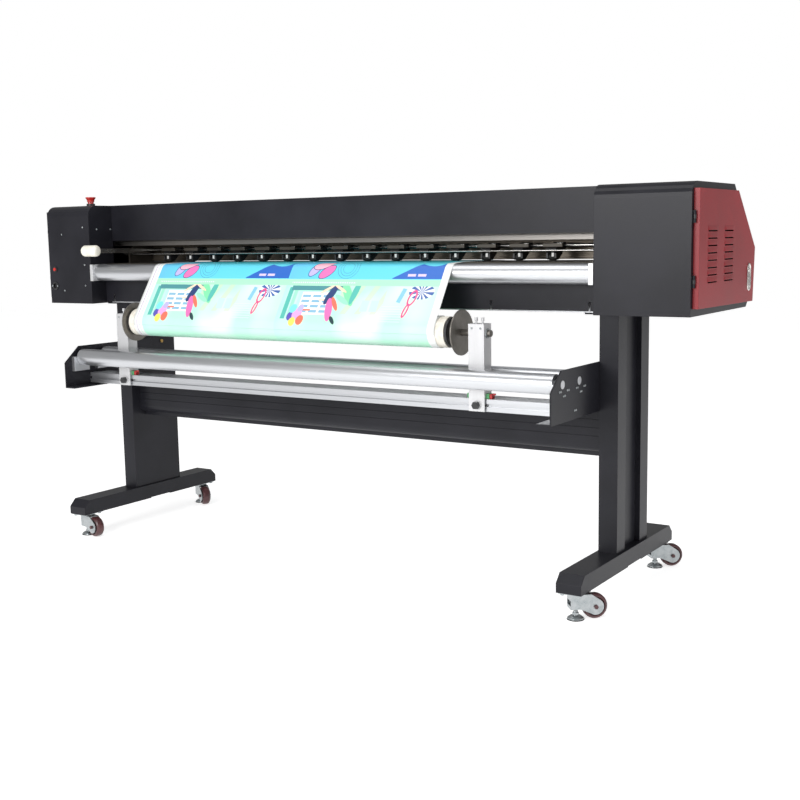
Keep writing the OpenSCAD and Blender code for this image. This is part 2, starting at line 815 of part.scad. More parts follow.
module electronics() {
  place() {
    color([0.7, 0.72, 0.74]) span([-left_out + 30, -60, body_z + sheet_t], [-left_out + 150, 140,
      body_z + 62]);
    color([0.1, 0.4, 0.2]) span([-left_out + 30, -60, body_z + 92], [-left_out + 150, 140, body_z + 95]);
    color(silver) for (x = [-left_out + 36, -left_out + 144], y = [-54, 134])
      translate([x, y, body_z + 61]) cylinder(h = 32, d = 7);
    color([0.15, 0.15, 0.16]) span([cap_in + 20, 120, body_z + sheet_t], [right_out - 30, 250,
      body_z + 110]);
  }
}

// ---- End caps ----

// Side outline of an end cap, inset by a margin.
module cap_outline(m) {
  r = bend_r - m;
  polygon(concat(
    [[cap_front + m, body_z + m]],
    [for (a = [180 : -15 : 90]) [cap_front + bend_r + r * cos(a), cap_top - bend_r + r * sin(a)]],
    [[cap_rear_top - m * 0.7, cap_top - m], [cap_rear_kink - m, body_z + cap_kink_z - m * 0.4],
     [cap_rear_low - m, body_z + cap_low_z + m * 0.4], [cap_rear_low - 24 - m * 0.4, body_z + m]]));
}

module cap_shell(inner_x, outer_x) {
  wall_x = inner_x < outer_x ? inner_x : inner_x - sheet_t;
  low = min(inner_x, outer_x);
  high = max(inner_x, outer_x);
  along_x(low, high) difference() {
    cap_outline(0);
    cap_outline(sheet_t);
  }
  along_x(wall_x, wall_x + sheet_t) difference() {
    cap_outline(0.2);
    rect([cover_front + 3, platen_top + 1], [cover_rear - 3, cap_top - 10]);
    translate([pinch_y, feed_z]) circle(d = feed_shaft_d + 6);
  }
  outer_wall = inner_x < outer_x ? outer_x - sheet_t : outer_x;
  along_x(outer_wall, outer_wall + sheet_t) difference() {
    cap_outline(0.2);
    cap_outline(28);
  }
}

// Fixed half of the door hinges: leaf, outer knuckles and pin, on the cap's outer face.
module hinge_fixed(side) {
  face = side > 0 ? right_out : -left_out;
  hx = face + side * hinge_out;
  lx = face + side * (hinge_leaf_t - 1) / 2;
  for (z = hinge_zs) {
    translate([lx, hinge_y - 2, z]) cube([hinge_leaf_t + 1, 13, 2 * hinge_half], center = true);
    translate([hx, hinge_y, z - hinge_half]) cylinder(h = 2 * hinge_half, d = hinge_pin_d);
    for (k = [-1, 1]) translate([0, 0, z + k * (hinge_half + hinge_mid) / 2]) {
      l = hinge_half - hinge_mid;
      translate([hx, hinge_y, -l / 2]) cylinder(h = l, d = hinge_d);
      translate([(face + hx) / 2, hinge_y, 0]) cube([hinge_out, hinge_d - 2, l], center = true);
    }
  }
}

module left_cap() {
  place() color(black) difference() {
    cap_shell(-cap_in, -left_out);
    rod_y(cap_front - 1, cap_front + 10, button_x, button_z, 17);
    rod_y(cap_front - 1, cap_front + 10, inlet_x, inlet_z, 26);
    translate([estop_x, estop_y, cap_top - 10]) cylinder(h = 20, d = 23);
  }
  place() color(black) hinge_fixed(-1);
}

module right_cap() {
  place() color(black) {
    cap_shell(cap_in, right_out);
    hinge_fixed(1);
    for (x = [-cap_post_x, cap_post_x])
      translate([park_x + x, cap_post_y, body_z + sheet_t / 2])
        cylinder(h = platen_top - 32 - body_z, d = cap_post_d);
  }
}

// Door outline in (Y, Z), inset by a margin.
module door_outline(m) {
  polygon([[cap_front + 14 + m, body_z + 22 + m], [cap_front + 14 + m, cap_top - 20 - m],
    [cap_rear_top - 16 - m * 0.7, cap_top - 20 - m], [cap_rear_kink - 15 - m,
      body_z + cap_kink_z - 4 - m * 0.4],
    [cap_rear_low - 13 - m, body_z + 18 + m]]);
}

// A pan door that hangs on two barrels beside its front edge; side is +1 right, -1 left.
module side_door(side) {
  x0 = side > 0 ? right_out + door_gap : -left_out - door_gap - door_t;
  x1 = x0 + door_t;
  skin = side > 0 ? x1 - sheet_t : x0;
  along_x(x0, x1) difference() {
    door_outline(0);
    door_outline(sheet_t);
  }
  difference() {
    along_x(skin, skin + sheet_t) door_outline(0.2);
    for (col = louvre_ys, i = [0 : 7])
      span([skin - 5, col - 40, body_z + 90 + i * 20.5], [skin + 5, col + 40, body_z + 94 + i * 20.5]);
    if (side > 0) rod_x(skin - 5, skin + 5, latch_y, latch_z, latch_stem_d + 2 * run_gap);
  }
  hx = side > 0 ? right_out + hinge_out : -left_out - hinge_out;
  h = hinge_mid - free_gap;
  for (z = hinge_zs) difference() {
    union() {
      span([hx - 1.5, hinge_y, z - h], [hx + 1.5, cap_front + 15, z + h]);
      translate([hx, hinge_y, z - h]) cylinder(h = 2 * h, d = hinge_d);
    }
    translate([hx, hinge_y, z - h - 1]) cylinder(h = 2 * h + 2, d = hinge_pin_d + 2 * run_gap);
  }
}

module left_door() { place() color(black) side_door(-1); }
module right_door() { place() color(red) side_door(1); }

module right_latch() {
  x = right_out + door_gap + door_t + latch_gap;
  place() color([0.75, 0.76, 0.78]) {
    along_x(x, x + latch_t) union() {
      rect([latch_y - latch_w / 2, latch_z - latch_l / 2], [latch_y + latch_w / 2, latch_z + latch_l / 2]);
      for (s = [-1, 1]) translate([latch_y, latch_z + s * latch_l / 2]) circle(d = latch_w);
    }
    rod_x(x - 14, x, latch_y, latch_z, latch_stem_d);
    span([x - 14, latch_y - 7, latch_z - 7], [x - 11, latch_y + 34, latch_z + 7]);
  }
}

module panel_fittings() {
  place() {
    color([0.8, 0.7, 0.2]) translate([estop_x, estop_y, cap_top]) difference() {
      cylinder(h = 9, d = 32);
      translate([0, 0, -1]) cylinder(h = 12, d = estop_stem_d + 2 * run_gap);
    }
    color([0.1, 0.1, 0.1]) difference() {
      union() {
        rod_y(cap_front - 3, cap_front + 8, button_x, button_z, 16.8);
        rod_y(cap_front - 3, cap_front, button_x, button_z, 22);
      }
      rod_y(cap_front - 4, cap_front + 9, button_x, button_z, button_d + 2 * run_gap);
    }
    color([0.1, 0.1, 0.1]) difference() {
      union() {
        rod_y(cap_front - 4, cap_front + 9, inlet_x, inlet_z, 25.8);
        rod_y(cap_front - 3, cap_front, inlet_x, inlet_z, 32);
      }
      rod_y(cap_front - 5, cap_front + 5, inlet_x, inlet_z, 20);
    }
  }
}

module estop_button() {
  place() color([0.75, 0.1, 0.08]) translate([estop_x, estop_y, cap_top + 9]) {
    translate([0, 0, 6]) rotate_extrude() polygon([[0, 0], [14, 0], [19, 6], [19.5, 10], [17, 15],
      [10, 18], [0, 19]]);
    translate([0, 0, -30]) cylinder(h = 37, d = estop_stem_d);
  }
}

module power_button() {
  place() color([0.75, 0.08, 0.08]) rod_y(cap_front - 6, cap_front + 12, button_x, button_z, button_d);
}

// ---- Take-up unit ----

module takeup_plate(side) {
  x0 = side > 0 ? end_plate_x : -end_plate_x - end_plate_t;
  fx = side > 0 ? end_plate_x - end_flange : -end_plate_x - end_plate_t;
  difference() {
    union() {
      along_x(x0, x0 + end_plate_t) polygon([
        [end_plate_front, end_plate_low], [end_plate_front, end_plate_top - 57],
          [end_plate_front + 69, end_plate_top],
        [end_plate_rear, end_plate_top], [end_plate_rear, end_plate_low]]);
      span([fx, end_plate_front, end_plate_low],
           [fx + end_flange + end_plate_t, cross_beam_y - 20, end_plate_low + end_plate_t]);
      span([fx + 6, rail_front + 14, end_plate_low + 1],
           [fx + end_flange, rail_front + rail_depth - 14, rail_low]);
    }
    for (y = [front_roller_y, rear_roller_y])
      rod_x(x0 - 1, x0 + end_plate_t + 1, y, roller_z, journal_d + 2 * run_gap);
  }
}

module takeup_plates() {
  place() color(black) for (side = [-1, 1]) takeup_plate(side);
}

module takeup_rail() {
  x = end_plate_x - 0.3;
  rear = rail_front + rail_depth;
  top = rail_low + rail_h;
  place() color(silver) along_x(-x, x) difference() {
    rect([rail_front, rail_low], [rear, top]);
    rect([rail_front - 1, knob_z - rail_slot_h / 2], [rail_front + 7, knob_z + rail_slot_h / 2]);
    for (i = [0 : 3]) rect([rail_front + 8 + i * 20, top - 5], [rail_front + 14 + i * 20, top + 1]);
    rect([rail_front + 12, rail_low + 4], [rail_front + 40, top - 10]);
    rect([rail_front + 45, rail_low + 4], [rear - 5, top - 10]);
  }
}

module tension_roller(y) {
  place() {
    color(silver) difference() {
      rod_x(-roller_end, roller_end, y, roller_z, roller_d);
      rod_x(-roller_end + 12, roller_end - 12, y, roller_z, roller_d - 2 * roller_wall);
    }
    color(black) for (side = [-1, 1])
      rod_x(side > 0 ? roller_end : -end_plate_x - end_plate_t - 1,
            side > 0 ? end_plate_x + end_plate_t + 1 : -roller_end, y, roller_z, journal_d);
  }
}

module front_roller() { tension_roller(front_roller_y); }
module rear_roller() { tension_roller(rear_roller_y); }

module roller_saddles() {
  place() color(silver) for (side = [-1, 1], y = [front_roller_y, rear_roller_y]) {
    x = side > 0 ? end_plate_x - saddle_t : -end_plate_x;
    difference() {
      span([x, y - saddle_w / 2, roller_z - saddle_h], [x + saddle_t,
        y + saddle_w / 2 - (y == front_roller_y ? 12 : 0), roller_z + 4]);
      rod_x(x - 1, x + saddle_t + 1, y, roller_z, journal_d + 10);
      span([x - 1, y - journal_d / 2 - 5, roller_z], [x + saddle_t + 1, y + journal_d / 2 + 5,
        roller_z + 10]);
    }
  }
}

// Folded channel open to the back; its front plate runs down over the rail.
module post(x) {
  left = x - post_w / 2;
  foot = rail_low + rail_h;
  difference() {
    union() {
      span([left, post_y, rail_low], [left + post_w, post_y + post_t, post_top]);
      for (s = [left, left + post_w - post_t])
        span([s, post_y, foot + 0.5], [s + post_t, post_y + post_d, post_top]);
      span([left, post_y, post_top - post_t], [left + post_w, post_y + post_d, post_top]);
      span([left + 4, post_y + post_t, rail_low + 4], [left + post_w - 4, rail_front - 0.5, foot]);
      span([left + 16, rail_front - 1, knob_z - rail_slot_h / 2 + free_gap], [left + post_w - 16,
        rail_front + 5, knob_z + rail_slot_h / 2 - free_gap]);
    }
    rod_x(left - 10, left + post_w + 10, roll_y, roll_z, chuck_shaft_d + 2 * run_gap);
    rod_y(post_y - 1, rail_front + 10, x, knob_z, knob_stem_d + 2 * run_gap);
  }
  for (px = [x - 11, x + 11]) {
    translate([px, roll_y, post_top]) cylinder(h = 10, d = 6);
    translate([px, roll_y, post_top + 8]) cylinder(h = 10, d = 10);
  }
}

module post_left() { place() color(white) post(post_left_x); }
module post_right() { place() color(white) post(post_right_x); }

module clamp_knob(x) {
  place() color([0.05, 0.05, 0.05]) {
    translate([x, post_y - knob_t - free_gap, knob_z]) rotate([-90, 0, 0]) cylinder(h = knob_t,
      d = knob_w, $fn = 6);
    rod_y(post_y - 1, rail_front + 4, x, knob_z, knob_stem_d);
  }
}

module knob_left() { clamp_knob(post_left_x); }
module knob_right() { clamp_knob(post_right_x); }

// Chuck: shaft in the post, disc and stepped plug; s points from the post to the roll.
module chuck(post_x, core_end, s, reach) {
  disc_x = core_end - s * reach;
  a = min(disc_x, disc_x + s * 4);
  face = core_end - s * 0.4;
  place() color([0.3, 0.29, 0.27]) {
    rod_x(min(post_x - s * 40, disc_x), max(post_x - s * 40, disc_x), roll_y, roll_z, chuck_shaft_d);
    rod_x(a, a + 4, roll_y, roll_z, disc_d);
    rod_x(min(disc_x, face - s * 8), max(disc_x, face - s * 8), roll_y, roll_z, 36);
    rod_x(min(face, face - s * 8), max(face, face - s * 8), roll_y, roll_z, core_d - 8);
    rod_x(min(face, face + s * 34), max(face, face + s * 34), roll_y, roll_z, core_bore - 1);
    if (reach > 30) for (px = [disc_x + s * 10, disc_x + s * 24]) translate([px, roll_y, roll_z + 10]) {
      cylinder(h = 18, d = 8);
      translate([0, 0, 17]) cylinder(h = 10, d = 10);
    }
  }
}

module chuck_left() { chuck(post_left_x, core_left, 1, 12); }
module chuck_right() { chuck(post_right_x, core_right, -1, 40); }

module media_core() {
  place() color([0.85, 0.84, 0.8]) difference() {
    rod_x(core_left, core_right, roll_y, roll_z, core_d);
    rod_x(core_left - 1, core_right + 1, roll_y, roll_z, core_bore);
  }
}

module media_roll() {
  place() color(white) difference() {
    rod_x(media_left, media_right, roll_y, roll_z, roll_d);
    rod_x(media_left - 1, media_right + 1, roll_y, roll_z, core_d);
  }
}

// Media path seen from the side: over the platen, round the tube, down to the roll.
module media_sheet() {
  r = tube_d / 2 + sheet_gap;
  rr = roll_d / 2 + sheet_gap;
  // Angle where the sheet leaves the tube and meets the roll
  away = 360 + atan2(roll_z - tube_z, roll_y - tube_y);
  leave = away - acos((r - rr) / norm([roll_y - tube_y, roll_z - tube_z]));
  path = concat(
    [[platen_rear + 40, platen_top - 22], [platen_rear + 24, platen_top - 7], [platen_rear + 6,
      platen_top + sheet_gap]],
    [[platen_front + 8, platen_top + sheet_gap]],
    [for (i = [0 : 6]) [tube_y + r * cos(90 + (leave - 90) * i / 6),
      tube_z + r * sin(90 + (leave - 90) * i / 6)]],
    [for (i = [0 : 5]) [roll_y + rr * cos(leave + i * 8), roll_z + rr * sin(leave + i * 8)]]);
  place() color(white) along_x(media_left, media_right)
    polygon(concat(path, [for (i = [len(path) - 1 : -1 : 0]) path[i] + outward(path, i) * media_t]));
}

// Unit vector at point i of a path that runs from the back to the front, pointing up and out.
function outward(path, i) =
  let (a = path[max(i - 1, 0)], b = path[min(i + 1, len(path) - 1)], d = (b - a) / norm(b - a))
  [d[1], -d[0]];

feet();
legs();
cross_beam();
caster_plates();
fork_fl();
fork_fr();
fork_rl();
fork_rr();
wheel_fl();
wheel_fr();
wheel_rl();
wheel_rr();
pad_fl();
pad_fr();
pad_rl();
pad_rr();
chassis_beam();
frame_plates();
apron();
platen();
guide_tube();
tube_blocks();
top_beam();
top_cover();
guide_rail();
carriage();
print_heads();
cutter();
carriage_belt();
drive_pulley();
drive_motors();
feed_roller();
pinch_arms();
pinch_rollers();
lift_shaft();
lever_grip();
capping_station();
electronics();
left_cap();
left_door();
right_cap();
right_door();
right_latch();
panel_fittings();
estop_button();
power_button();
takeup_plates();
takeup_rail();
front_roller();
rear_roller();
roller_saddles();
post_left();
post_right();
knob_left();
knob_right();
chuck_left();
chuck_right();
media_core();
media_roll();
media_sheet();
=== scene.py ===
# %% [markdown]
# # A wide-format printer cutter, dressed in Blender
# The machine's frame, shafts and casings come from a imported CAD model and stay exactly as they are.
# This lesson adds what a CAD model leaves plain: the finish of every surface, the printed film,
# pressed louvres, screws and small fittings. Lengths are in metres, and MM turns millimetres into metres.

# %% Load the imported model
import json
import math
import bmesh
import bpy
from mathutils import Matrix, Vector


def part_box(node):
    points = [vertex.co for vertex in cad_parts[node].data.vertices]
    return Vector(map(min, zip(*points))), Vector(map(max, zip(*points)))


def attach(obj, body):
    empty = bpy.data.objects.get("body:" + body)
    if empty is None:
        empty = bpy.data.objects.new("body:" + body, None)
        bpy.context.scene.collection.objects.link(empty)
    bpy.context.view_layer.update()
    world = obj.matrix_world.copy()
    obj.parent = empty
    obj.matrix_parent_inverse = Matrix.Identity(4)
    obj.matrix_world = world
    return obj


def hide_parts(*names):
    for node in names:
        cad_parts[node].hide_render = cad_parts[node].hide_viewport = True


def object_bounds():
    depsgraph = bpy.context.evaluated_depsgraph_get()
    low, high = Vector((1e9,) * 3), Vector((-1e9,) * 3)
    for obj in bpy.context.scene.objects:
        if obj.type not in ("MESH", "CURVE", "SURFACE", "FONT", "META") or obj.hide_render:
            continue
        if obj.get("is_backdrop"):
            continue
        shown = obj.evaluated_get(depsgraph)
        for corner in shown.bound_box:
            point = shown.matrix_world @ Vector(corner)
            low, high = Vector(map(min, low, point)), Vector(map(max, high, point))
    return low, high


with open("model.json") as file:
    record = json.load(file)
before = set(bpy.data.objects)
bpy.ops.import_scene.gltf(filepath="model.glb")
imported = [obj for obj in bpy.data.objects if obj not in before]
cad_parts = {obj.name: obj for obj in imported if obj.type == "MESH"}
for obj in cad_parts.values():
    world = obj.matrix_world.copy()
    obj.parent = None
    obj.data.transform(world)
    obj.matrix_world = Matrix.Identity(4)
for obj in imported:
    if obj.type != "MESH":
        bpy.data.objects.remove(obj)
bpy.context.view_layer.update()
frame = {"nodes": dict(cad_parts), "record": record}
MM = 0.001
scene = bpy.context.scene

# %% [markdown]
# ## The camera
# A product picture of a long machine is taken from a little above its middle and well to one side.
# A camera can be aimed with a constraint, or its axes can be written down. Writing the axes also
# holds the small roll of a hand-set tripod, so that is what this cell does.

# %% Camera
AZIMUTH, ELEVATION, ROLL = (math.radians(a) for a in (33.12, 7.90, -1.01))
CAMERA_AT = Vector((2.38895, -3.36435, 1.1179))
FOCAL_MM = 53.03


def camera_axes(azimuth, elevation, roll):
    """Right, up and back of a camera that looks along +Y at azimuth 0."""
    back = Vector((math.sin(azimuth) * math.cos(elevation),
                   -math.cos(azimuth) * math.cos(elevation), math.sin(elevation)))
    right = (-back).cross(Vector((0, 0, 1))).normalized()
    up = right.cross(-back)
    return (right * math.cos(roll) + up * math.sin(roll),
            up * math.cos(roll) - right * math.sin(roll), back)


def link_object(name, data):
    """A new object for a mesh, a light or a camera, put into the scene."""
    obj = bpy.data.objects.new(name, data)
    scene.collection.objects.link(obj)
    return obj


lens = bpy.data.cameras.new("camera")
lens.lens = FOCAL_MM
camera = link_object("camera", lens)
camera.matrix_world = Matrix.Translation(CAMERA_AT) @ Matrix(
    camera_axes(AZIMUTH, ELEVATION, ROLL)).transposed().to_4x4()
scene.camera = camera
scene.view_settings.view_transform = "Standard"
print("camera", [round(c, 3) for c in camera.location])

# %% [markdown]
# ## Node helpers
# Every finish here is a small node tree. One helper adds a node and wires its sockets by name or
# number, so a material reads as a list of its layers instead of a page of links.

# %% Node helpers


def put(tree, kind, sockets=None, **settings):
    """Adds a node, sets its properties, and sets or links its input sockets."""
    node = tree.nodes.new(kind)
    for key, value in settings.items():
        setattr(node, key, value)
    for key, value in (sockets or {}).items():
        socket = node.inputs[key]
        if isinstance(value, bpy.types.NodeSocket):
            tree.links.new(value, socket)
        else:
            socket.default_value = value
    return node


def math_node(tree, operation, a, b=0.0):
    return put(tree, "ShaderNodeMath", {0: a, 1: b}, operation=operation).outputs[0]


def ramp(tree, value, start, stop, low=0.0, high=1.0):
    """Runs from low to high as the value runs from start to stop."""
    return put(tree, "ShaderNodeMapRange", {0: value, 1: start, 2: stop, 3: low, 4: high}).outputs[0]


def noise(tree, place, scale, detail):
    return put(tree, "ShaderNodeTexNoise", {"Vector": place, "Scale": scale, "Detail": detail}).outputs[0]


def mix_colour(tree, factor, a, b, blend="MIX"):
    """Colour a where factor is 0, colour b where it is 1."""
    node = put(tree, "ShaderNodeMix", {0: factor}, data_type="RGBA", blend_type=blend)
    for index, colour in ((6, a), (7, b)):
        if isinstance(colour, bpy.types.NodeSocket):
            tree.links.new(colour, node.inputs[index])
        else:
            node.inputs[index].default_value = (*colour, 1)
    return node.outputs[2]


def new_finish(name):
    """A material with its tree, its shader and Object coordinates."""
    material = bpy.data.materials.new(name)
    material.use_nodes = True
    tree = material.node_tree
    shader = tree.nodes["Principled BSDF"]
    return material, tree, shader, put(tree, "ShaderNodeTexCoord").outputs["Object"]


# %% [markdown]
# ## Surface finishes
# Most surfaces are one of a few kinds: powder coat, anodised or plated metal, moulded plastic and
# rubber. They share a recipe: two close colours mixed by a soft noise, a roughness that wanders a
# little, and a fine bump at the real grain size. Stretching the noise along one axis turns the
# grain into brushing. A Bevel node softens the sharp CAD edges in the shading only.

# %% The shared finish recipe


def finish(name, dark, light, patch=9.0, roughness=0.45, wander=0.08, grain=900.0, height=0.02,
           metallic=0.0, stretch=(1, 1, 1), edge=0.0012, specular=0.5, coat=0.0):
    """A surface with patches of two colours, uneven gloss and a fine grain."""
    material, tree, shader, place = new_finish(name)
    place = put(tree, "ShaderNodeMapping", {"Vector": place, "Scale": stretch}).outputs[0]
    patches, fine = noise(tree, place, patch, 4.0), noise(tree, place, grain, 2.0)
    both = math_node(tree, "ADD", math_node(tree, "MULTIPLY", patches, 0.75),
                     math_node(tree, "MULTIPLY", fine, 0.25))
    spread = ramp(tree, both, 0.35, 0.65)
    tree.links.new(mix_colour(tree, spread, dark, light), shader.inputs["Base Color"])
    gloss = ramp(tree, both, 0.3, 0.7, roughness - wander, roughness + wander)
    tree.links.new(gloss, shader.inputs["Roughness"])
    bump = {"Height": fine, "Strength": 0.35, "Distance": height * MM}
    if edge:
        bump["Normal"] = put(tree, "ShaderNodeBevel", {"Radius": edge}, samples=4).outputs[0]
    tree.links.new(put(tree, "ShaderNodeBump", bump).outputs[0], shader.inputs["Normal"])
    shader.inputs["Metallic"].default_value = metallic
    shader.inputs["Specular IOR Level"].default_value = specular
    shader.inputs["Coat Weight"].default_value = coat
    return material


ALONG_X = (0.02, 1, 1)
ALONG_Z = (1, 1, 0.03)
FINISHES = {}
for name, dark, light, look in (
        ("black_steel", (0.009, 0.009, 0.012), (0.017, 0.017, 0.022),
         dict(patch=5, roughness=0.36, wander=0.05, grain=1400, height=0.05, specular=0.2)),
        ("red_steel", (0.20, 0.012, 0.016), (0.27, 0.020, 0.026),
         dict(patch=5, roughness=0.38, wander=0.05, grain=1400, height=0.05, specular=0.3)),
        ("dark_bracket", (0.040, 0.036, 0.030), (0.075, 0.066, 0.054),
         dict(roughness=0.42, metallic=0.5)),
        ("anodised", (0.50, 0.51, 0.53), (0.60, 0.61, 0.63),
         dict(roughness=0.33, wander=0.05, grain=700, height=0.01, metallic=0.9, stretch=ALONG_X)),
        ("post_metal", (0.56, 0.56, 0.57), (0.66, 0.66, 0.67),
         dict(roughness=0.38, wander=0.05, grain=900, height=0.01, metallic=0.55, stretch=ALONG_Z)),
        ("bright_steel", (0.50, 0.49, 0.47), (0.66, 0.65, 0.63),
         dict(roughness=0.25, wander=0.06, grain=800, height=0.008, metallic=1.0, stretch=ALONG_X)),
        ("zinc", (0.30, 0.33, 0.34), (0.44, 0.46, 0.47),
         dict(patch=60, roughness=0.32, wander=0.1, grain=600, height=0.02, metallic=0.85, edge=0.0008)),
        ("maroon_tyre", (0.045, 0.012, 0.014), (0.085, 0.022, 0.024),
         dict(patch=40, roughness=0.38, grain=700, height=0.03, specular=0.6)),
        ("black_plastic", (0.011, 0.011, 0.012), (0.022, 0.022, 0.024),
         dict(patch=30, roughness=0.42, grain=1800, height=0.06, edge=0.0008)),
        ("head_metal", (0.30, 0.30, 0.32), (0.44, 0.44, 0.46),
         dict(roughness=0.35, metallic=0.9, stretch=ALONG_Z)),
        ("cutter_blue", (0.02, 0.035, 0.15), (0.035, 0.06, 0.24),
         dict(patch=50, roughness=0.3, edge=0.0005)),
        ("black_rubber", (0.010, 0.010, 0.010), (0.020, 0.020, 0.020),
         dict(patch=80, roughness=0.65, grain=1200, height=0.08, specular=0.35)),
        ("ivory_plastic", (0.70, 0.67, 0.57), (0.80, 0.78, 0.70),
         dict(patch=25, roughness=0.42, wander=0.06, grain=1500, height=0.03, specular=0.45)),
        ("board_box", (0.30, 0.32, 0.33), (0.42, 0.44, 0.45),
         dict(roughness=0.4, metallic=0.6)),
        ("chrome_latch", (0.66, 0.64, 0.61), (0.80, 0.78, 0.75),
         dict(patch=30, roughness=0.16, wander=0.05, grain=500, height=0.005, metallic=1.0, edge=0.0006)),
        ("red_button", (0.40, 0.012, 0.010), (0.52, 0.025, 0.018),
         dict(patch=60, roughness=0.28, grain=1200, height=0.02, edge=0.0005, coat=0.3)),
        ("chuck_brown", (0.14, 0.13, 0.115), (0.22, 0.205, 0.185),
         dict(patch=35, roughness=0.36, grain=500, height=0.02, metallic=0.8)),
        ("cardboard", (0.62, 0.58, 0.50), (0.78, 0.75, 0.68),
         dict(patch=70, roughness=0.8, wander=0.05, grain=900, height=0.08, specular=0.2))):
    FINISHES[name] = finish(name, dark, light, **look)
print("finishes", len(FINISHES))

# %% [markdown]
# ## Small finishes of their own
# A few small things have a colour of their own: the green stops and red cams of the slides, brass
# bolts, white clips, and the duller metal of the beam. The same recipe serves them too.

# %% Small extra finishes
GREEN_STOP = finish("green_stop", (0.05, 0.24, 0.09), (0.08, 0.34, 0.13), patch=60, roughness=0.4,
                    edge=0.0005)
RED_CAM = finish("red_cam", (0.36, 0.015, 0.02), (0.48, 0.03, 0.03), patch=60, roughness=0.35,
                 edge=0.0005)
BRASS = finish("brass_screw", (0.42, 0.27, 0.09), (0.58, 0.40, 0.15), patch=90, roughness=0.28,
               metallic=1.0, edge=0.0004)
WHITE_CLIP = finish("white_clip", (0.74, 0.74, 0.72), (0.86, 0.86, 0.84), patch=60, roughness=0.4,
                    edge=0.0005)
FLOOR = finish("floor", (0.86, 0.86, 0.86), (0.90, 0.90, 0.90), patch=2, roughness=0.7,
               wander=0.05, edge=0, specular=0.15)
FLOOR_GLOW = 0.66  # lifts the floor towards the backdrop's white
floor_shader = FLOOR.node_tree.nodes["Principled BSDF"]
floor_shader.inputs["Emission Color"].default_value = (1, 1, 1, 1)
floor_shader.inputs["Emission Strength"].default_value = FLOOR_GLOW
BEAM_METAL = finish("beam_metal", (0.16, 0.15, 0.14), (0.27, 0.255, 0.24), patch=3, roughness=0.36,
                    grain=700, metallic=0.9, stretch=ALONG_X)

# %% [markdown]
# ## Each CAD part gets its finish
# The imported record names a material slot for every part, so one loop dresses the whole machine. The
# beam alone gets a duller metal. A few parts are hidden later by a more detailed piece.

# %% Dress the CAD parts
for part in frame["record"]["subparts"]:
    node = frame["nodes"][part["node"]]
    chosen = FINISHES.get(part["material_slot"], FINISHES["black_plastic"])
    if part["node"] == "top_beam":
        chosen = BEAM_METAL
    node.data.materials.clear()
    node.data.materials.append(chosen)

# %% [markdown]
# ## Mesh helpers
# Three ways of making a solid cover all the small pieces: a lathe for turned parts, an outline pushed
# along its normal for pressed parts, and a bevelled box. Each builds in its own simple place, and
# a matrix then sets it into the machine, so the finished object still sits at the origin.

# %% Mesh helpers


def to_object(name, bm):
    """Closes a bmesh into an object with outward faces."""
    bmesh.ops.remove_doubles(bm, verts=bm.verts, dist=1e-7)
    bmesh.ops.recalc_face_normals(bm, faces=bm.faces)
    mesh = bpy.data.meshes.new(name)
    bm.to_mesh(mesh)
    bm.free()
    return link_object(name, mesh)


def in_mm(pairs):
    return [(a * MM, b * MM) for a, b in pairs]


def ring(bm, radius, height, steps):
    """Points evenly round the Z axis."""
    return [bm.verts.new((radius * math.cos(a), radius * math.sin(a), height))
            for a in (2 * math.pi * i / steps for i in range(steps))]


def skin(bm, loops):
    """Faces between each loop of points and the next."""
    for low, high in zip(loops, loops[1:]):
        for i in range(len(low)):
            j = (i + 1) % len(low)
            bm.faces.new((low[i], low[j], high[j], high[i]))


def lathe(name, profile, steps=48, matrix=Matrix()):
    """Turns (radius, height) pairs round Z. Both ends of the profile lie on the axis or join up."""
    bm = bmesh.new()
    rings = [ring(bm, radius, height, steps if radius > 1e-9 else 1) for radius, height in profile]
    closed = profile[0][0] > 1e-9
    for low, high in zip(rings, rings[1:] + rings[:1] if closed else rings[1:]):
        for i in range(steps):
            j = (i + 1) % steps
            corners = [low[i % len(low)], low[j % len(low)], high[j % len(high)], high[i % len(high)]]
            loop = list(dict.fromkeys(corners))
            if len(loop) > 2:
                bm.faces.new(loop)
    obj = to_object(name, bm)
    obj.data.transform(matrix)
    return smooth(obj)


def plate(name, outline, depth, matrix=Matrix(), bevel=0.0004):
    """Pushes a closed outline in X and Y up by depth, with softened rims."""
    bm = bmesh.new()
    floor = [bm.verts.new((x, y, 0)) for x, y in outline]
    face = bm.faces.new(floor)
    top = bmesh.ops.extrude_face_region(bm, geom=[face])
    bmesh.ops.translate(bm, vec=(0, 0, depth), verts=[v for v in top["geom"]
                                                    if isinstance(v, bmesh.types.BMVert)])
    if bevel:
        rims = [e for e in bm.edges if abs(e.verts[0].co.z - e.verts[1].co.z) < 1e-9]
        bmesh.ops.bevel(bm, geom=rims, offset=bevel, segments=2, affect="EDGES", profile=0.5)
    obj = to_object(name, bm)
    obj.data.transform(matrix)
    return obj


def box_piece(name, low, high, bevel=0.0006):
    """A box between two corners with rounded edges."""
    bm = bmesh.new()
    size = Vector(high) - Vector(low)
    bmesh.ops.create_cube(bm, size=1.0, matrix=Matrix.Translation((Vector(high) + Vector(low)) / 2)
                          @ Matrix.Diagonal((*size, 1)))
    bmesh.ops.bevel(bm, geom=bm.edges, offset=bevel, segments=2, affect="EDGES", profile=0.5)
    return to_object(name, bm)


def smooth(obj, angle=35):
    """Smooth shading, but not across an edge sharper than the angle."""
    limit = math.radians(angle)
    bm = bmesh.new()
    bm.from_mesh(obj.data)
    for face in bm.faces:
        face.smooth = True
    for edge in bm.edges:
        edge.smooth = len(edge.link_faces) == 2 and edge.calc_face_angle(0) < limit
    bm.to_mesh(obj.data)
    bm.free()
    return obj


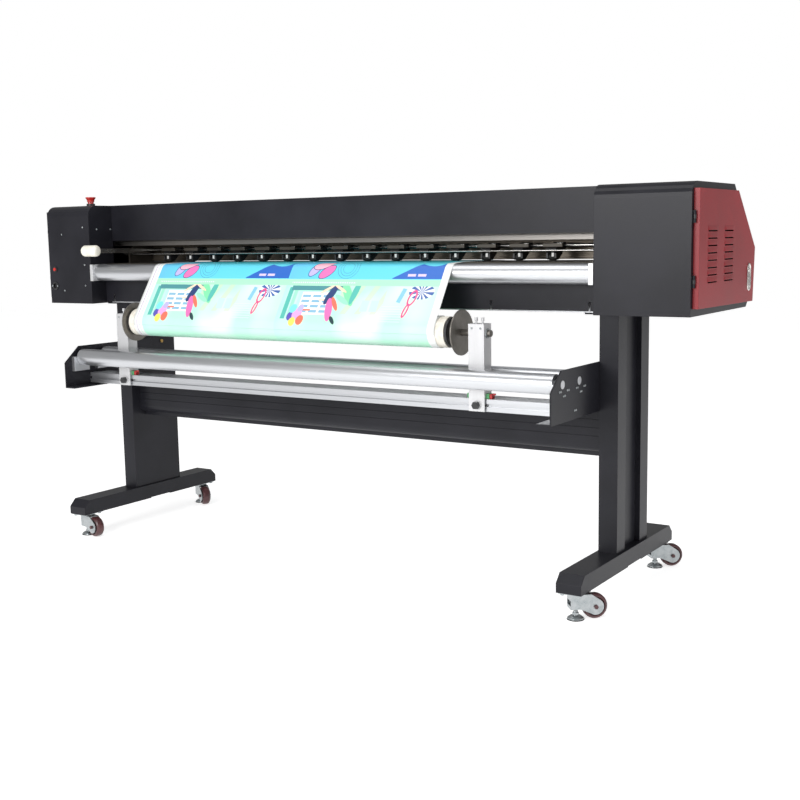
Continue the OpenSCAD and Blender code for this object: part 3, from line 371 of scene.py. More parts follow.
def aim(at, facing, along=(0, 0, 1)):
    """Matrix that puts local Z on facing and local Y as near along as it can."""
    z = Vector(facing).normalized()
    x = Vector(along).cross(z).normalized()
    return Matrix.Translation(at) @ Matrix((x, z.cross(x), z)).transposed().to_4x4()


def join(name, parts):
    """Joins pieces on one body into one object."""
    with bpy.context.temp_override(active_object=parts[0], selected_editable_objects=parts):
        bpy.ops.object.join()
    parts[0].name = name
    return parts[0]


def fit(obj, body, slot, material=None):
    """Gives a piece its finish, the one named by slot unless a material is given, and the body it moves
    with.
    """
    obj.data.materials.clear()
    obj.data.materials.append(material or FINISHES[slot])
    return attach(obj, body)


# %% [markdown]
# ## Scattering with Geometry Nodes
# Screws, louvres and clips repeat, so they are drawn once and scattered. The points carry two
# directions as attributes, which way a copy faces and which way is up on it. The tree turns each
# copy to them, makes the copies real and sets their finish. The result is baked to a plain mesh.

# %% The scatter tree


def scatter_tree():
    """A tree with a shape, a size and a finish as its named inputs."""
    tree = bpy.data.node_groups.new("scatter", "GeometryNodeTree")
    for label, kind in (("Geometry", "Geometry"), ("Shape", "Object"), ("Size", "Float"),
                        ("Finish", "Material")):
        tree.interface.new_socket(label, in_out="INPUT", socket_type="NodeSocket" + kind)
    tree.interface.new_socket("Geometry", in_out="OUTPUT", socket_type="NodeSocketGeometry")
    start = put(tree, "NodeGroupInput")
    shape = put(tree, "GeometryNodeObjectInfo", {"Object": start.outputs["Shape"]})
    facing, upward = (put(tree, "GeometryNodeInputNamedAttribute", {"Name": label},
                          data_type="FLOAT_VECTOR").outputs[0] for label in ("facing", "upward"))
    turn = put(tree, "FunctionNodeAlignRotationToVector", {"Vector": facing}, axis="Z").outputs[0]
    turn = put(tree, "FunctionNodeAlignRotationToVector", {"Rotation": turn, "Vector": upward},
               axis="Y", pivot_axis="Z").outputs[0]
    copies = put(tree, "GeometryNodeInstanceOnPoints",
                 {"Points": start.outputs["Geometry"], "Instance": shape.outputs["Geometry"],
                  "Rotation": turn, "Scale": start.outputs["Size"]}).outputs[0]
    solid = put(tree, "GeometryNodeRealizeInstances", {"Geometry": copies}).outputs[0]
    dressed = put(tree, "GeometryNodeSetMaterial",
                  {"Geometry": solid, "Material": start.outputs["Finish"]}).outputs[0]
    put(tree, "NodeGroupOutput", {0: dressed})
    return tree


SCATTER = scatter_tree()


def bake_modifier(obj):
    """Turns a modifier's result into a plain mesh."""
    bpy.context.view_layer.update()
    evaluated = obj.evaluated_get(bpy.context.evaluated_depsgraph_get())
    mesh = bpy.data.meshes.new_from_object(evaluated)
    obj.modifiers.clear()
    obj.data = mesh
    return obj


def scatter(name, shape, points, body, slot, material=None, size=1.0):
    """Copies shape to points, each (place, facing, upward), as one piece on one body."""
    mesh = bpy.data.meshes.new(name)
    mesh.from_pydata([p[0] for p in points], [], [])
    for label, index in (("facing", 1), ("upward", 2)):
        attribute = mesh.attributes.new(label, "FLOAT_VECTOR", "POINT")
        attribute.data.foreach_set("vector", [c for p in points for c in p[index]])
    obj = link_object(name, mesh)
    modifier = obj.modifiers.new("scatter", "NODES")
    modifier.node_group = SCATTER
    chosen = material or FINISHES[slot]
    values = {"Shape": shape, "Size": size, "Finish": chosen}
    for item in SCATTER.interface.items_tree:
        if item.in_out == "INPUT" and item.name in values:
            modifier[item.identifier] = values[item.name]
    bake_modifier(obj)
    print(name, len(points), "copies,", len(obj.data.polygons), "faces")
    return fit(obj, body, slot, chosen)


# %% [markdown]
# ## Where things are
# Most places come from the boxes of the CAD parts, so a change of size in the CAD carries over.
# Where no box gives a place, as for the hinges, the louvres and the leg bolts, it is written out.

# %% Landmarks
left_cap_low, left_cap_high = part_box("left_cap")
right_cap_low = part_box("right_cap")[0]
cover_low, cover_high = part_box("top_cover")
tube_low, tube_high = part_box("guide_tube")
tube_at = (tube_low + tube_high) / 2
tube_r = (tube_high.z - tube_low.z) / 2
roll_low, roll_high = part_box("media_roll")
roll_at = (roll_low + roll_high) / 2
roll_r = (roll_high.z - roll_low.z) / 2
platen_low, platen_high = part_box("platen")
rail_low, rail_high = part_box("takeup_rail")
front_low, front_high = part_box("front_roller")
rear_low, rear_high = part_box("rear_roller")
end_low, end_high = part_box("takeup_plates")
FRONT, RIGHT, LEFT, UP = Vector((0, -1, 0)), Vector((1, 0, 0)), Vector((-1, 0, 0)), Vector((0, 0, 1))

# %% [markdown]
# ## The printed film
# The film leaves the platen, rolls over the guide tube and runs down to the take-up roll. In section
# that is a straight run, an arc, the common tangent of two circles and another arc, so it is worked
# out from the tube and the roll. The second map coordinate is the length along the film, which
# lets the print run on without a break over the roll.

# %% The film's path
FILM_GAP = 0.85 * MM
FILM_T = 0.3 * MM
MAP_SPAN = 1.3  # metres of film across one unit of the map
MAP_START = 0.3  # metres of film before the tube's top that the map still covers


def film_path():
    """Points in Y and Z from the back of the platen to the roll, with the length from the tube's top."""
    r, rr = tube_r + FILM_GAP, roll_r + FILM_GAP
    dy, dz = roll_at.y - tube_at.y, roll_at.z - tube_at.z
    away = 2 * math.pi + math.atan2(dz, dy)
    leave = away - math.acos((r - rr) / math.hypot(dy, dz))
    top = platen_high.z + FILM_GAP
    points = [(platen_high.y + (40 - 4 * i) * MM, top - 22 * MM * (1 - i / 8) ** 2) for i in range(9)]
    points += [(platen_low.y + 8 * MM, top)]
    points += [(tube_at.y + r * math.cos(a), tube_at.z + r * math.sin(a))
               for a in (math.pi / 2 + (leave - math.pi / 2) * i / 14 for i in range(15))]
    tube_top = 10
    points += [(roll_at.y + rr * math.cos(a), roll_at.z + rr * math.sin(a))
               for a in (leave + math.radians(40) * i / 12 for i in range(13))]
    lengths = [0.0]
    for (ya, za), (yb, zb) in zip(points, points[1:]):
        lengths.append(lengths[-1] + math.hypot(yb - ya, zb - za))
    zero = lengths[tube_top]
    return points, [s - zero for s in lengths], leave


film_points, film_lengths, roll_meets = film_path()
film_w = roll_high.x - roll_low.x
print("film", round(film_w, 3), "by", round(film_lengths[-1] - film_lengths[0], 3))
roll_length = film_lengths[-13]

# %% [markdown]
# ## The print
# A print on film is a picture made of flat shapes. It could be an image, but drawing it with nodes keeps it
# sharp at any size. A Mapping node moves a shape's centre to zero and its size to one, so an
# ellipse is where the length is under one and a box is where both sides are. The picture is a plain
# abstract poster, two panels side by side, with white margins.

# %% Shape helpers for the print


class Print:
    """Paints flat shapes, in millimetres, one over another."""

    def __init__(self, tree, place, ground):
        self.tree, self.place, self.colour = tree, place, ground

    def local(self, centre, half, turn):
        return put(self.tree, "ShaderNodeMapping",
                   {"Vector": self.place, "Location": (*centre, 0), "Rotation": (0, 0, math.radians(turn)),
                    "Scale": (*half, 1)}, vector_type="TEXTURE").outputs[0]

    def oval(self, centre, half, turn=0):
        reach = put(self.tree, "ShaderNodeVectorMath", {0: self.local(centre, half, turn)},
                    operation="LENGTH").outputs["Value"]
        return self.below(reach, 1.0)

    def bar(self, centre, half, turn=0):
        sides = put(self.tree, "ShaderNodeVectorMath", {0: self.local(centre, half, turn)},
                    operation="ABSOLUTE").outputs[0]
        parts = put(self.tree, "ShaderNodeSeparateXYZ", {0: sides})
        return self.below(math_node(self.tree, "MAXIMUM", parts.outputs[0], parts.outputs[1]), 1.0)

    def below(self, value, limit):
        return math_node(self.tree, "LESS_THAN", value, limit)

    def above(self, value, limit):
        return math_node(self.tree, "GREATER_THAN", value, limit)

    def stripes(self, value, period, width):
        return self.below(math_node(self.tree, "FLOORED_MODULO", value, period), width)

    def both(self, a, b):
        return math_node(self.tree, "MULTIPLY", a, b)

    def without(self, a, b):
        return math_node(self.tree, "MULTIPLY", a, math_node(self.tree, "SUBTRACT", 1.0, b))

    def paint(self, mask, colour):
        self.colour = mix_colour(self.tree, mask, self.colour, colour)


WHITE, NAVY = (0.78, 0.80, 0.79), (0.02, 0.05, 0.16)
AQUA, SKY, BLUE = (0.07, 0.55, 0.62), (0.13, 0.46, 0.80), (0.02, 0.12, 0.48)
GREEN, TEAL = (0.20, 0.66, 0.36), (0.09, 0.44, 0.38)
PINK, ROSE, LILAC = (0.78, 0.16, 0.42), (0.82, 0.42, 0.52), (0.46, 0.42, 0.74)
LEMON, CORAL, PEACH = (0.88, 0.70, 0.12), (0.84, 0.16, 0.10), (0.90, 0.62, 0.46)

# %% Paint the film
PANEL_W, PANEL_X = 605.0, 42.0


def printed_film():
    """Film with two repeats of an abstract poster, matt white at its margins."""
    material, tree, shader, _ = new_finish("printed_film")
    uv = put(tree, "ShaderNodeTexCoord").outputs["UV"]
    mm = put(tree, "ShaderNodeVectorMath", {0: uv, 3: MAP_SPAN / MM}, operation="SCALE").outputs[0]
    parts = put(tree, "ShaderNodeSeparateXYZ", {0: mm})
    across, down = parts.outputs[0], math_node(tree, "SUBTRACT", parts.outputs[1], MAP_START / MM)
    inside = math_node(tree, "SUBTRACT", across, PANEL_X)
    repeat = math_node(tree, "FLOORED_MODULO", inside, PANEL_W)
    place = put(tree, "ShaderNodeCombineXYZ", {0: repeat, 1: down}).outputs[0]
    fade = ramp(tree, noise(tree, place, 0.006, 1.0), 0.40, 0.68)
    p = Print(tree, place, mix_colour(tree, fade, (0.44, 0.76, 0.60), WHITE))
    # soft green washes down the sides and foot of a panel
    p.paint(ramp(tree, repeat, 470.0, 590.0, 0.0, 0.8), (0.48, 0.82, 0.60))
    p.paint(ramp(tree, repeat, 120.0, 10.0, 0.0, 0.7), (0.35, 0.78, 0.62))
    p.paint(ramp(tree, down, 190.0, 330.0, 0.0, 0.75), (0.42, 0.80, 0.60))
    # light stripes fanning out behind the middle
    fan = math_node(tree, "SINE", math_node(tree, "MULTIPLY", math_node(
        tree, "ADD", repeat, math_node(tree, "MULTIPLY", down, 0.45)), 0.11))
    fan = p.both(p.above(fan, 0.35), p.bar((300, 150), (110, 52)))
    p.paint(p.both(fan, math_node(tree, "MULTIPLY", fan, 0.55)), (0.55, 0.86, 0.42))
    # a block with rows of windows
    for centre, half, colour in (((28, 165), (9, 60), TEAL), ((50, 160), (7, 62), (0.30, 0.72, 0.52)),
                                 ((132, 108), (104, 9), (0.07, 0.26, 0.28)),
                                 ((150, 162), (84, 45), (0.42, 0.80, 0.66)),
                                 ((142, 165), (62, 42), (0.88, 0.84, 0.76))):
        p.paint(p.bar(centre, half), colour)
    rows = p.both(p.stripes(down, 19.0, 10.0), p.stripes(repeat, 42.0, 33.0))
    p.paint(p.both(rows, p.bar((142, 165), (60, 40))), (0.22, 0.44, 0.60))
    p.paint(p.bar((112, 190), (20, 3)), CORAL)
    p.paint(p.bar((178, 152), (24, 3)), PEACH)
    # large leaning leaf shapes
    for centre, half, turn, colour in (
            ((262, 128), (52, 15), 58, GREEN), ((290, 120), (48, 12), 100, TEAL),
            ((246, 150), (34, 9), 30, (0.30, 0.78, 0.50)), ((196, 132), (14, 40), 24, NAVY),
            ((206, 188), (14, 44), -12, PINK), ((222, 166), (8, 30), -34, CORAL),
            ((232, 226), (7, 18), -40, (0.02, 0.05, 0.06)), ((176, 112), (30, 5), -32, PEACH),
            ((226, 108), (32, 5), 28, PEACH)):
        p.paint(p.oval(centre, half, turn), colour)
    # a bunch of round shapes
    for centre, radius, colour in (((60, 214), 15, (0.10, 0.08, 0.42)), ((84, 206), 19, (0.80, 0.36, 0.66)),
                                   ((72, 234), 13, LEMON), ((102, 228), 15, CORAL),
                                   ((62, 186), 14, (0.20, 0.66, 0.84)), ((92, 184), 12, LILAC)):
        p.paint(p.oval(centre, (radius, radius * 1.2), 12), colour)
    # pale blocks and fine rules on the white side
    for x in (342, 378):
        p.paint(p.bar((x, 172), (14, 20)), (0.50, 0.86, 0.68))
    p.paint(p.both(p.stripes(down, 9.0, 1.6), p.bar((450, 200), (42, 34))), (0.66, 0.82, 0.80))
    # a wheel of rays and two linked rings
    hub, reach, ray_count = (540, 118), (46, 27), 11.0
    spot = put(tree, "ShaderNodeSeparateXYZ", {0: p.local(hub, (1, 1), 0)})
    turn = math_node(tree, "ARCTAN2", spot.outputs[1], spot.outputs[0])
    rays = p.above(math_node(tree, "SINE", math_node(tree, "MULTIPLY", turn, ray_count)), 0.0)
    p.paint(p.oval(hub, reach), WHITE)
    p.paint(p.both(rays, p.oval(hub, reach)), (0.05, 0.12, 0.36))
    p.paint(p.bar((470, 132), (8, 26), 14), (0.22, 0.50, 0.72))
    for centre, half, turn in (((512, 140), (15, 30), 14), ((500, 186), (9, 26), 12)):
        ring = p.without(p.oval(centre, half, turn), p.oval(centre, (half[0] - 6, half[1] - 8), turn))
        p.paint(ring, (0.78, 0.08, 0.24))
    # the band across the top, with its wave and petals
    p.paint(p.below(down, 98.0), (0.36, 0.80, 0.50))
    p.paint(p.both(p.stripes(repeat, 9.0, 5.0), p.bar((150, 87), (130, 2.5))), (0.70, 0.88, 0.76))
    band = p.below(down, 74.0)
    drift = ramp(tree, down, -60.0, 70.0)
    p.colour = mix_colour(tree, band, p.colour, mix_colour(tree, drift, AQUA, (0.12, 0.58, 0.76)))
    p.paint(p.both(band, ramp(tree, repeat, 0.0, 170.0, 0.75, 0.0)), SKY)
    slope = math_node(tree, "ADD", down, math_node(tree, "MULTIPLY", repeat, 0.56))
    wave = p.both(p.above(slope, 301.0), p.bar((508, 30), (94, 42)))
    p.paint(p.without(wave, p.oval((548, -2), (50, 26), 8)), BLUE)
    for x in (484, 522):
        p.paint(p.bar((x, 58), (15, 4.5)), (0.62, 0.52, 0.74))
    for centre, half, turn, colour in (
            ((100, 36), (32, 15), -50, LILAC), ((150, 46), (34, 17), -38, PINK),
            ((128, 16), (40, 17), -20, ROSE)):
        p.paint(p.oval(centre, (half[0] + 2.5, half[1] + 2.5), turn), NAVY)
        p.paint(p.oval(centre, half, turn), colour)
    for radius in (22, 32, 42):
        arc = p.without(p.oval((232, 30), (radius, radius)),
                        p.oval((232, 30), (radius - 1.4, radius - 1.4)))
        p.paint(arc, (0.05, 0.20, 0.34))
    # white margins with two thin rules
    edge = p.both(p.above(inside, 0.0), p.below(inside, 2 * PANEL_W - 8))
    p.colour = mix_colour(tree, edge, WHITE, p.colour)
    for x, colour in ((16.0, (0.35, 0.24, 0.42)), (30.0, (0.42, 0.74, 0.56))):
        off = math_node(tree, "ABSOLUTE", math_node(tree, "SUBTRACT", across, x))
        p.paint(p.below(off, 1.2), colour)
    tree.links.new(p.colour, shader.inputs["Base Color"])
    gloss = ramp(tree, noise(tree, mm, 0.02, 3.0), 0.3, 0.7, 0.30, 0.42)
    tree.links.new(gloss, shader.inputs["Roughness"])
    weave = noise(tree, mm, 0.9, 2.0)
    bump = put(tree, "ShaderNodeBump", {"Height": weave, "Strength": 0.2, "Distance": 0.02 * MM})
    tree.links.new(bump.outputs[0], shader.inputs["Normal"])
    return material


FINISHES["printed_film"] = printed_film()

# %% Build the hanging film
COLUMNS = 96


def mapped_mesh(name, verts, faces, spots):
    """An object whose map gives each vertex its spot on the film."""
    mesh = bpy.data.meshes.new(name)
    mesh.from_pydata(verts, [], faces)
    layer = mesh.uv_layers.new(name="length_map")
    for loop in mesh.loops:
        layer.data[loop.index].uv = spots[loop.vertex_index]
    return link_object(name, mesh)


def mapped_strip(name, left, right, points, lengths):
    """A strip along X whose map holds its width and its length, in map spans."""
    verts, faces, spots = [], [], []
    for i in range(COLUMNS + 1):
        share = i / COLUMNS
        x = left + (right - left) * share
        for (y, z), s in zip(points, lengths):
            verts.append((x, y, z))
            spots.append(((x - left) / MAP_SPAN, (s + MAP_START) / MAP_SPAN))
    rows = len(points)
    for i in range(COLUMNS):
        for j in range(rows - 1):
            a = i * rows + j
            faces.append((a, a + 1, a + rows + 1, a + rows))
    obj = mapped_mesh(name, verts, faces, spots)
    for face in obj.data.polygons:
        face.use_smooth = True
    return obj


film = mapped_strip("printed_sheet", roll_low.x, roll_high.x, film_points, film_lengths)
normal = film.data.polygons[len(film_points) + 10].normal
if normal.y > 0 or (abs(normal.y) < 0.01 and normal.z < 0):
    film.data.flip_normals()
thick = film.modifiers.new("film thickness", "SOLIDIFY")
thick.thickness = FILM_T
thick.offset = 1.0
bake_modifier(film)
fit(film, "frame", "printed_film")
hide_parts("media_sheet")

# %% [markdown]
# ## The wound roll
# Wound film is a stack of thin layers, so its two ends show rings that are never quite level. The roll
# is a turned shape whose end rings step in and out a little, and its outside carries the same
# map as the hanging film, so the print runs on round it.

# %% Build the wound roll
ROLL_STEPS = 96
core_low, core_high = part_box("media_core")
core_r = (core_high.z - core_low.z) / 2


def wound_roll():
    """The roll's outside with the film's map, and stepped rings at its ends."""
    outer, inner = roll_r, core_r + 0.05 * MM
    rings = [(roll_low.x + 0.3 * MM, inner)]
    layers = 7
    for k in range(1, layers):
        rings.append((roll_low.x + (0.35 + 0.3 * (k % 2)) * MM, inner + (outer - inner) * k / layers))
    rings += [(roll_low.x, outer - 0.1 * MM), (roll_low.x + 0.2 * MM, outer)]
    spans = 24
    rings += [(roll_low.x + film_w * k / spans, outer) for k in range(1, spans)]
    rings += [(2 * roll_at.x - x, r) for x, r in reversed(rings[:layers + 2])]
    verts, faces, spots = [], [], []
    for x, r in rings:
        for i in range(ROLL_STEPS + 1):
            a = roll_meets + 2 * math.pi * i / ROLL_STEPS
            verts.append((x, roll_at.y + r * math.cos(a), roll_at.z + r * math.sin(a)))
            length = roll_length + r * 2 * math.pi * i / ROLL_STEPS
            spots.append(((x - roll_low.x) / MAP_SPAN, (length + MAP_START) / MAP_SPAN))
    row = ROLL_STEPS + 1
    count = len(rings)
    for k in range(count):
        for i in range(ROLL_STEPS):
            a, b = k * row + i, ((k + 1) % count) * row + i
            faces.append((a, b, b + 1, a + 1))
    obj = mapped_mesh("printed_roll", verts, faces, spots)
    bm = bmesh.new()
    bm.from_mesh(obj.data)
    bmesh.ops.remove_doubles(bm, verts=bm.verts, dist=1e-6)
    bmesh.ops.recalc_face_normals(bm, faces=bm.faces)
    bm.to_mesh(obj.data)
    bm.free()
    return smooth(obj)


roll = wound_roll()
fit(roll, "roll", "printed_film")
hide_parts("media_roll")

# %% [markdown]
# ## Screws
# A socket screw's head is a low cylinder with a rounded rim and a six-sided recess. The recess is
# six faces pushed down from the top, which costs a few dozen faces, so hundreds of them stay light.

# %% One screw head


def screw_head(name, radius, height, domed=0.25):
    """A low head on the plane Z = 0 with a six-sided recess."""
    bm = bmesh.new()
    count = 18
    socket = 0.48 * radius
    levels = [(radius, 0), (radius, height * 0.55), (radius * (1 - domed), height), (socket, height)]
    rings = [ring(bm, r, z, count) for r, z in levels]
    hexagon = []
    for i in range(count):
        a = 2 * math.pi * i / count
        flat = socket * math.cos(math.pi / 6) / math.cos((a % (math.pi / 3)) - math.pi / 6)
        hexagon.append((flat * math.cos(a), flat * math.sin(a)))
    rings.append([bm.verts.new((x, y, height * 0.98)) for x, y in hexagon])
    rings.append([bm.verts.new((x, y, height * 0.4)) for x, y in hexagon])
    skin(bm, rings)
    bm.faces.new(rings[0][::-1])
    bm.faces.new(rings[-1])
    return to_object(name, bm)


m4_head = screw_head("m4_head", 3.4 * MM, 2.0 * MM)
m8_head = screw_head("m8_head", 6.8 * MM, 5.0 * MM, domed=0.1)

# %% Screws of the end caps and the cover
cap_front = left_cap_low.y
left_inner, right_inner = left_cap_high.x, right_cap_low.x
cap_top = left_cap_high.z
left_front = [(Vector((left_inner - dx * MM, cap_front, cap_top - dz * MM)), FRONT, UP)
              for dx, dz in ((34, 82), (152, 107), (32, 224), (33, 303), (151, 323))]
inlet_at = Vector((left_inner - 201 * MM, cap_front, cap_top - 305 * MM))
left_front += [(inlet_at + Vector((s * 14 * MM, -2.9 * MM, 0)), FRONT, UP) for s in (-1, 1)]
inner_face = [(Vector((left_inner + 0.1 * MM, y, cap_top - 90 * MM)), RIGHT, UP)
              for y in (cover_low.y - 8 * MM, cap_front + 40 * MM)]
inner_face += [(Vector((right_inner - 0.1 * MM, p[0].y, p[0].z)), LEFT, UP) for p in inner_face]
back_edge = [(Vector((x, cover_high.y, cap_top - dz * MM)), -FRONT, UP)
             for x in [cover_low.x + 0.03 + i * (cover_high.x - cover_low.x - 0.06) / 8 for i in range(9)]
             for dz in (20, 115)]
scatter("cap_screws", m4_head, left_front + inner_face + back_edge, "frame", "zinc")

# %% [markdown]
# ## Take-up fasteners
# Each end plate carries three pairs of screws below each roller's boss and one pair for the rail.
# The pattern is the same on both plates, mirrored, so a loop over the two sides writes both.

# %% Screws of the take-up unit
PAIRS = ((-16, -19), (37, -19), (11, -33))
plate_screws = []
for side, face_x in ((RIGHT, end_high.x), (LEFT, end_low.x)):
    for low, high in ((front_low, front_high), (rear_low, rear_high)):
        centre_y, centre_z = (low.y + high.y) / 2, (low.z + high.z) / 2
        plate_screws += [(Vector((face_x, centre_y + (dy + s) * MM, centre_z + dz * MM)), side, UP)
                         for dy, dz in PAIRS for s in (-4.6, 4.6)]
    rail_y = (rail_low.y + rail_high.y) / 2
    plate_screws += [(Vector((face_x, rail_y + s * 5 * MM, rail_low.z + 17 * MM)), side, UP)
                     for s in (-1, 1)]
scatter("plate_screws", m4_head, plate_screws, "frame", "zinc")
beam_low, beam_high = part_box("cross_beam")
LEG_BOLTS = ((0.10275, 0.716), (0.10275, 0.54), (0.10275, 0.48), (-0.01525, 0.78))
leg_screws = []
for side, x in ((RIGHT, beam_low.x), (LEFT, beam_high.x)):
    leg_screws += [(Vector((x, y, z)), side, UP) for y, z in LEG_BOLTS]
scatter("leg_bolts", m8_head, leg_screws, "frame", "zinc", BRASS)

# %% [markdown]
# ## Pressed louvres
# A louvre is a slit whose upper lip has been pushed out into a shallow hood, so rain and dust fall past
# it. One hood is a grid lifted by a smooth bulge that is deepest at the slit and fades upwards.

# %% One louvre hood


def louvre_hood(width=88 * MM, tall=13 * MM, depth=3.2 * MM, across=20, up=6):
    """A closed shallow hood, with its slit along Y = 0 and its bulge towards +Z."""
    bm = bmesh.new()
    grid = []
    for j in range(up + 1):
        t = j / up
        row = []
        for i in range(across + 1):
            s = -1 + 2 * i / across
            bulge = math.sqrt(max(0.0, 1 - s * s)) ** 0.8 * math.cos(t * math.pi / 2) ** 1.3
            row.append(bm.verts.new((s * width / 2, t * tall, depth * bulge)))
        grid.append(row)
    for low, high in zip(grid, grid[1:]):
        for i in range(across):
            bm.faces.new((low[i], low[i + 1], high[i + 1], high[i]))
    rim = grid[0] + [r[-1] for r in grid[1:]] + grid[-1][-2::-1] + [r[0] for r in grid[-2:0:-1]]
    base = [bm.verts.new((v.co.x, v.co.y, -0.4 * MM)) for v in rim]
    for i in range(len(rim)):
        j = (i + 1) % len(rim)
        bm.faces.new((rim[j], rim[i], base[i], base[j]))
    bm.faces.new(base)
    return smooth(to_object("louvre", bm), 50)


hood = louvre_hood()
body_z = right_cap_low.z
# Y, and height above the foot of the caps, in millimetres
LOUVRES = [(column, 94 + 20.5 * i) for column in (-85.25, 60.75) for i in range(8)]
for name, side, x, slot in (("right_louvres", RIGHT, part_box("right_door")[1].x, "red_steel"),
                            ("left_louvres", LEFT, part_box("left_door")[0].x, "black_steel")):
    points = [(Vector((x, y * MM, body_z + rise * MM)), side, UP) for y, rise in LOUVRES]
    scatter(name, hood, points, name.replace("louvres", "door"), slot)

# %% [markdown]
# ## The latch
# The door is held by a long chromed latch: a raised rim, a sunk face, a lock barrel and a lift
# tab. The CAD plate is one flat piece, so a pressed and turned set of pieces stands for it.

# %% Build the latch
latch_low, latch_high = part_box("right_latch")


def stadium(width, length, steps=16):
    """Outline of a slot: two half circles joined by straight sides."""
    r, reach = width / 2, (length - width) / 2
    return [(r * math.cos(a), side * reach + r * math.sin(a))
            for side, start in ((1, 0.0), (-1, math.pi))
            for a in (start + math.pi * i / steps for i in range(steps + 1))]


def raised_rim(name, outer, inner, height, matrix):
    """A ring between two outlines of the same count, closed all round."""
    bm = bmesh.new()
    loops = [[bm.verts.new((x, y, z)) for x, y in line]
             for line, z in ((outer, 0), (outer, height * 0.7), (shrink(outer, inner, 0.3), height),
                             (shrink(outer, inner, 0.8), height), (inner, height * 0.6), (inner, 0))]
    skin(bm, loops + loops[:1])
    obj = to_object(name, bm)
    obj.data.transform(matrix)
    return smooth(obj, 50)


def shrink(outer, inner, share):
    return [(a[0] + (b[0] - a[0]) * share, a[1] + (b[1] - a[1]) * share) for a, b in zip(outer, inner)]


latch_y, latch_z = 254.82 * MM, (latch_low.z + latch_high.z) / 2
latch_x = latch_high.x - 3.2 * MM
latch_at = aim(Vector((latch_x, latch_y, latch_z)), RIGHT)
latch = join("latch_plate", [
    raised_rim("rim", stadium(34 * MM, 84 * MM), stadium(26 * MM, 76 * MM), 3.2 * MM, latch_at),
    plate("face", stadium(27 * MM, 77 * MM), 1.2 * MM, latch_at, 0.2 * MM),
    plate("tab", stadium(16 * MM, 34 * MM), 1.6 * MM,
          latch_at @ Matrix.Translation((0, -16 * MM, 1.1 * MM)), 0.5 * MM),
    lathe("barrel", in_mm([(0, 1), (6.5, 1), (6.5, 2.6), (5.8, 3), (2, 3), (2, 2.4), (0, 2.4)]), 32,
          latch_at @ Matrix.Translation((0, 22 * MM, 0))),
    lathe("stem", in_mm([(0, -14), (6.9, -14), (6.9, 0.4), (0, 0.4)]), 32, latch_at),
    box_piece("cam", (latch_x - 14 * MM, latch_y - 7 * MM, latch_z - 7 * MM),
              (latch_x - 11 * MM, latch_y + 34 * MM, latch_z + 7 * MM))])
fit(latch, "right_latch", "chrome_latch")
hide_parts("right_latch")

# %% [markdown]
# ## The lever's grip and the stop button
# A moulded grip has round ends and a fine parting line. It is a lathe along X whose profile dips a
# little at the line. The stop button flares out like a mushroom, with a dished top and a rim.

# %% Grip and stop button
grip_low, grip_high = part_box("lever_grip")


def moulded_grip(low, high):
    r, half = (high.z - low.z) / 2, (high.x - low.x) / 2
    end = 12 * MM
    profile = [(0, -half)]
    profile += [(r - end + end * math.sin(a), -half + end - end * math.cos(a))
                for a in (math.pi / 2 * i / 6 for i in range(7))]
    profile += [(r, -1.2 * MM), (r - 0.7 * MM, -0.6 * MM), (r - 0.7 * MM, 0.6 * MM), (r, 1.2 * MM)]
    profile += [(radius, -height) for radius, height in reversed(profile[:8])]
    turn = Matrix.Translation((low + high) / 2) @ Matrix.Rotation(math.pi / 2, 4, "Y")
    return lathe("grip", profile, 48, turn)


grip = fit(moulded_grip(grip_low, grip_high), "pinch_lift", "ivory_plastic")
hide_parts("lever_grip")
stop_low, stop_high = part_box("estop_button")
stop_at = Matrix.Translation(((stop_low.x + stop_high.x) / 2, (stop_low.y + stop_high.y) / 2, 0))
profile = [(0, stop_low.z), (11 * MM, stop_low.z)] + [(r * MM, stop_high.z - drop * MM) for r, drop in (
    (11, 19), (13.5, 18.5), (14, 12), (16, 7.5), (19, 4.5), (19.5, 2.5), (19, 0.8), (17.5, 0),
    (15, 0.4), (8, 1.6), (0, 2.0))]
stop = fit(lathe("stop_button", profile, 48, stop_at), "estop_button", "red_button")
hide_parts("estop_button")

# %% [markdown]
# ## The painted shade sheet
# A dark folded sheet behind the pinch arms stands in for the shade inside the machine: painted shade. It is
# a long strip with a hem at its foot, drawn as an outline pushed along X.

# %% Build the painted shade sheet
# A dark brown finish for the sheet, painting the shade inside the machine behind the pinch arms
SHADE_SHEET = finish("shade_sheet_metal", (0.085, 0.070, 0.054), (0.19, 0.16, 0.125), patch=4, roughness=0.38,
                grain=600, metallic=0.6, stretch=(0.1, 1, 1))
shade_sheet_y, shade_sheet_foot = cover_high.y - 10 * MM, platen_high.z + 3.5 * MM
ALONG = Matrix(((0, 0, 1, 0), (1, 0, 0, 0), (0, 1, 0, 0), (0, 0, 0, 1)))
hem = [(0, 0), (1.2, 0), (1.2, 90), (0, 90), (0, 6), (-7, 6), (-7, 10), (-8.2, 10), (-8.2, 4.8), (0, 4.8)]
# The sheet that carries the painted shade, hung behind the pinch arms
shade_sheet = plate("rear_shield", in_mm(hem), cover_high.x - cover_low.x - 4 * MM,
               Matrix.Translation((cover_low.x + 2 * MM, shade_sheet_y, shade_sheet_foot)) @ ALONG, 0)
fit(shade_sheet, "frame", "dark_bracket", SHADE_SHEET)

# %% [markdown]
# ## Hinge sleeves
# Each door turns on short black hinges at its front edge, so the middle knuckle that belongs to the
# door gets a turned black sleeve with a chamfer at both ends.

# %% Hinge sleeves
SLEEVE = [(4.15, -5.9), (4.5, -5.6), (4.5, 5.6), (4.15, 5.9), (4.02, 5.9), (4.02, -5.9)]
HINGE_Y, HINGE_RISES = -204.18, (97, 275)
for side, x in (("left", -1299.75), ("right", 1296.25)):
    sleeves = [lathe("sleeve", in_mm(SLEEVE), 32,
                     Matrix.Translation((x * MM, HINGE_Y * MM, body_z + rise * MM)))
               for rise in HINGE_RISES]
    fit(join("hinge_sleeves_" + side, sleeves), side + "_door", "black_plastic")

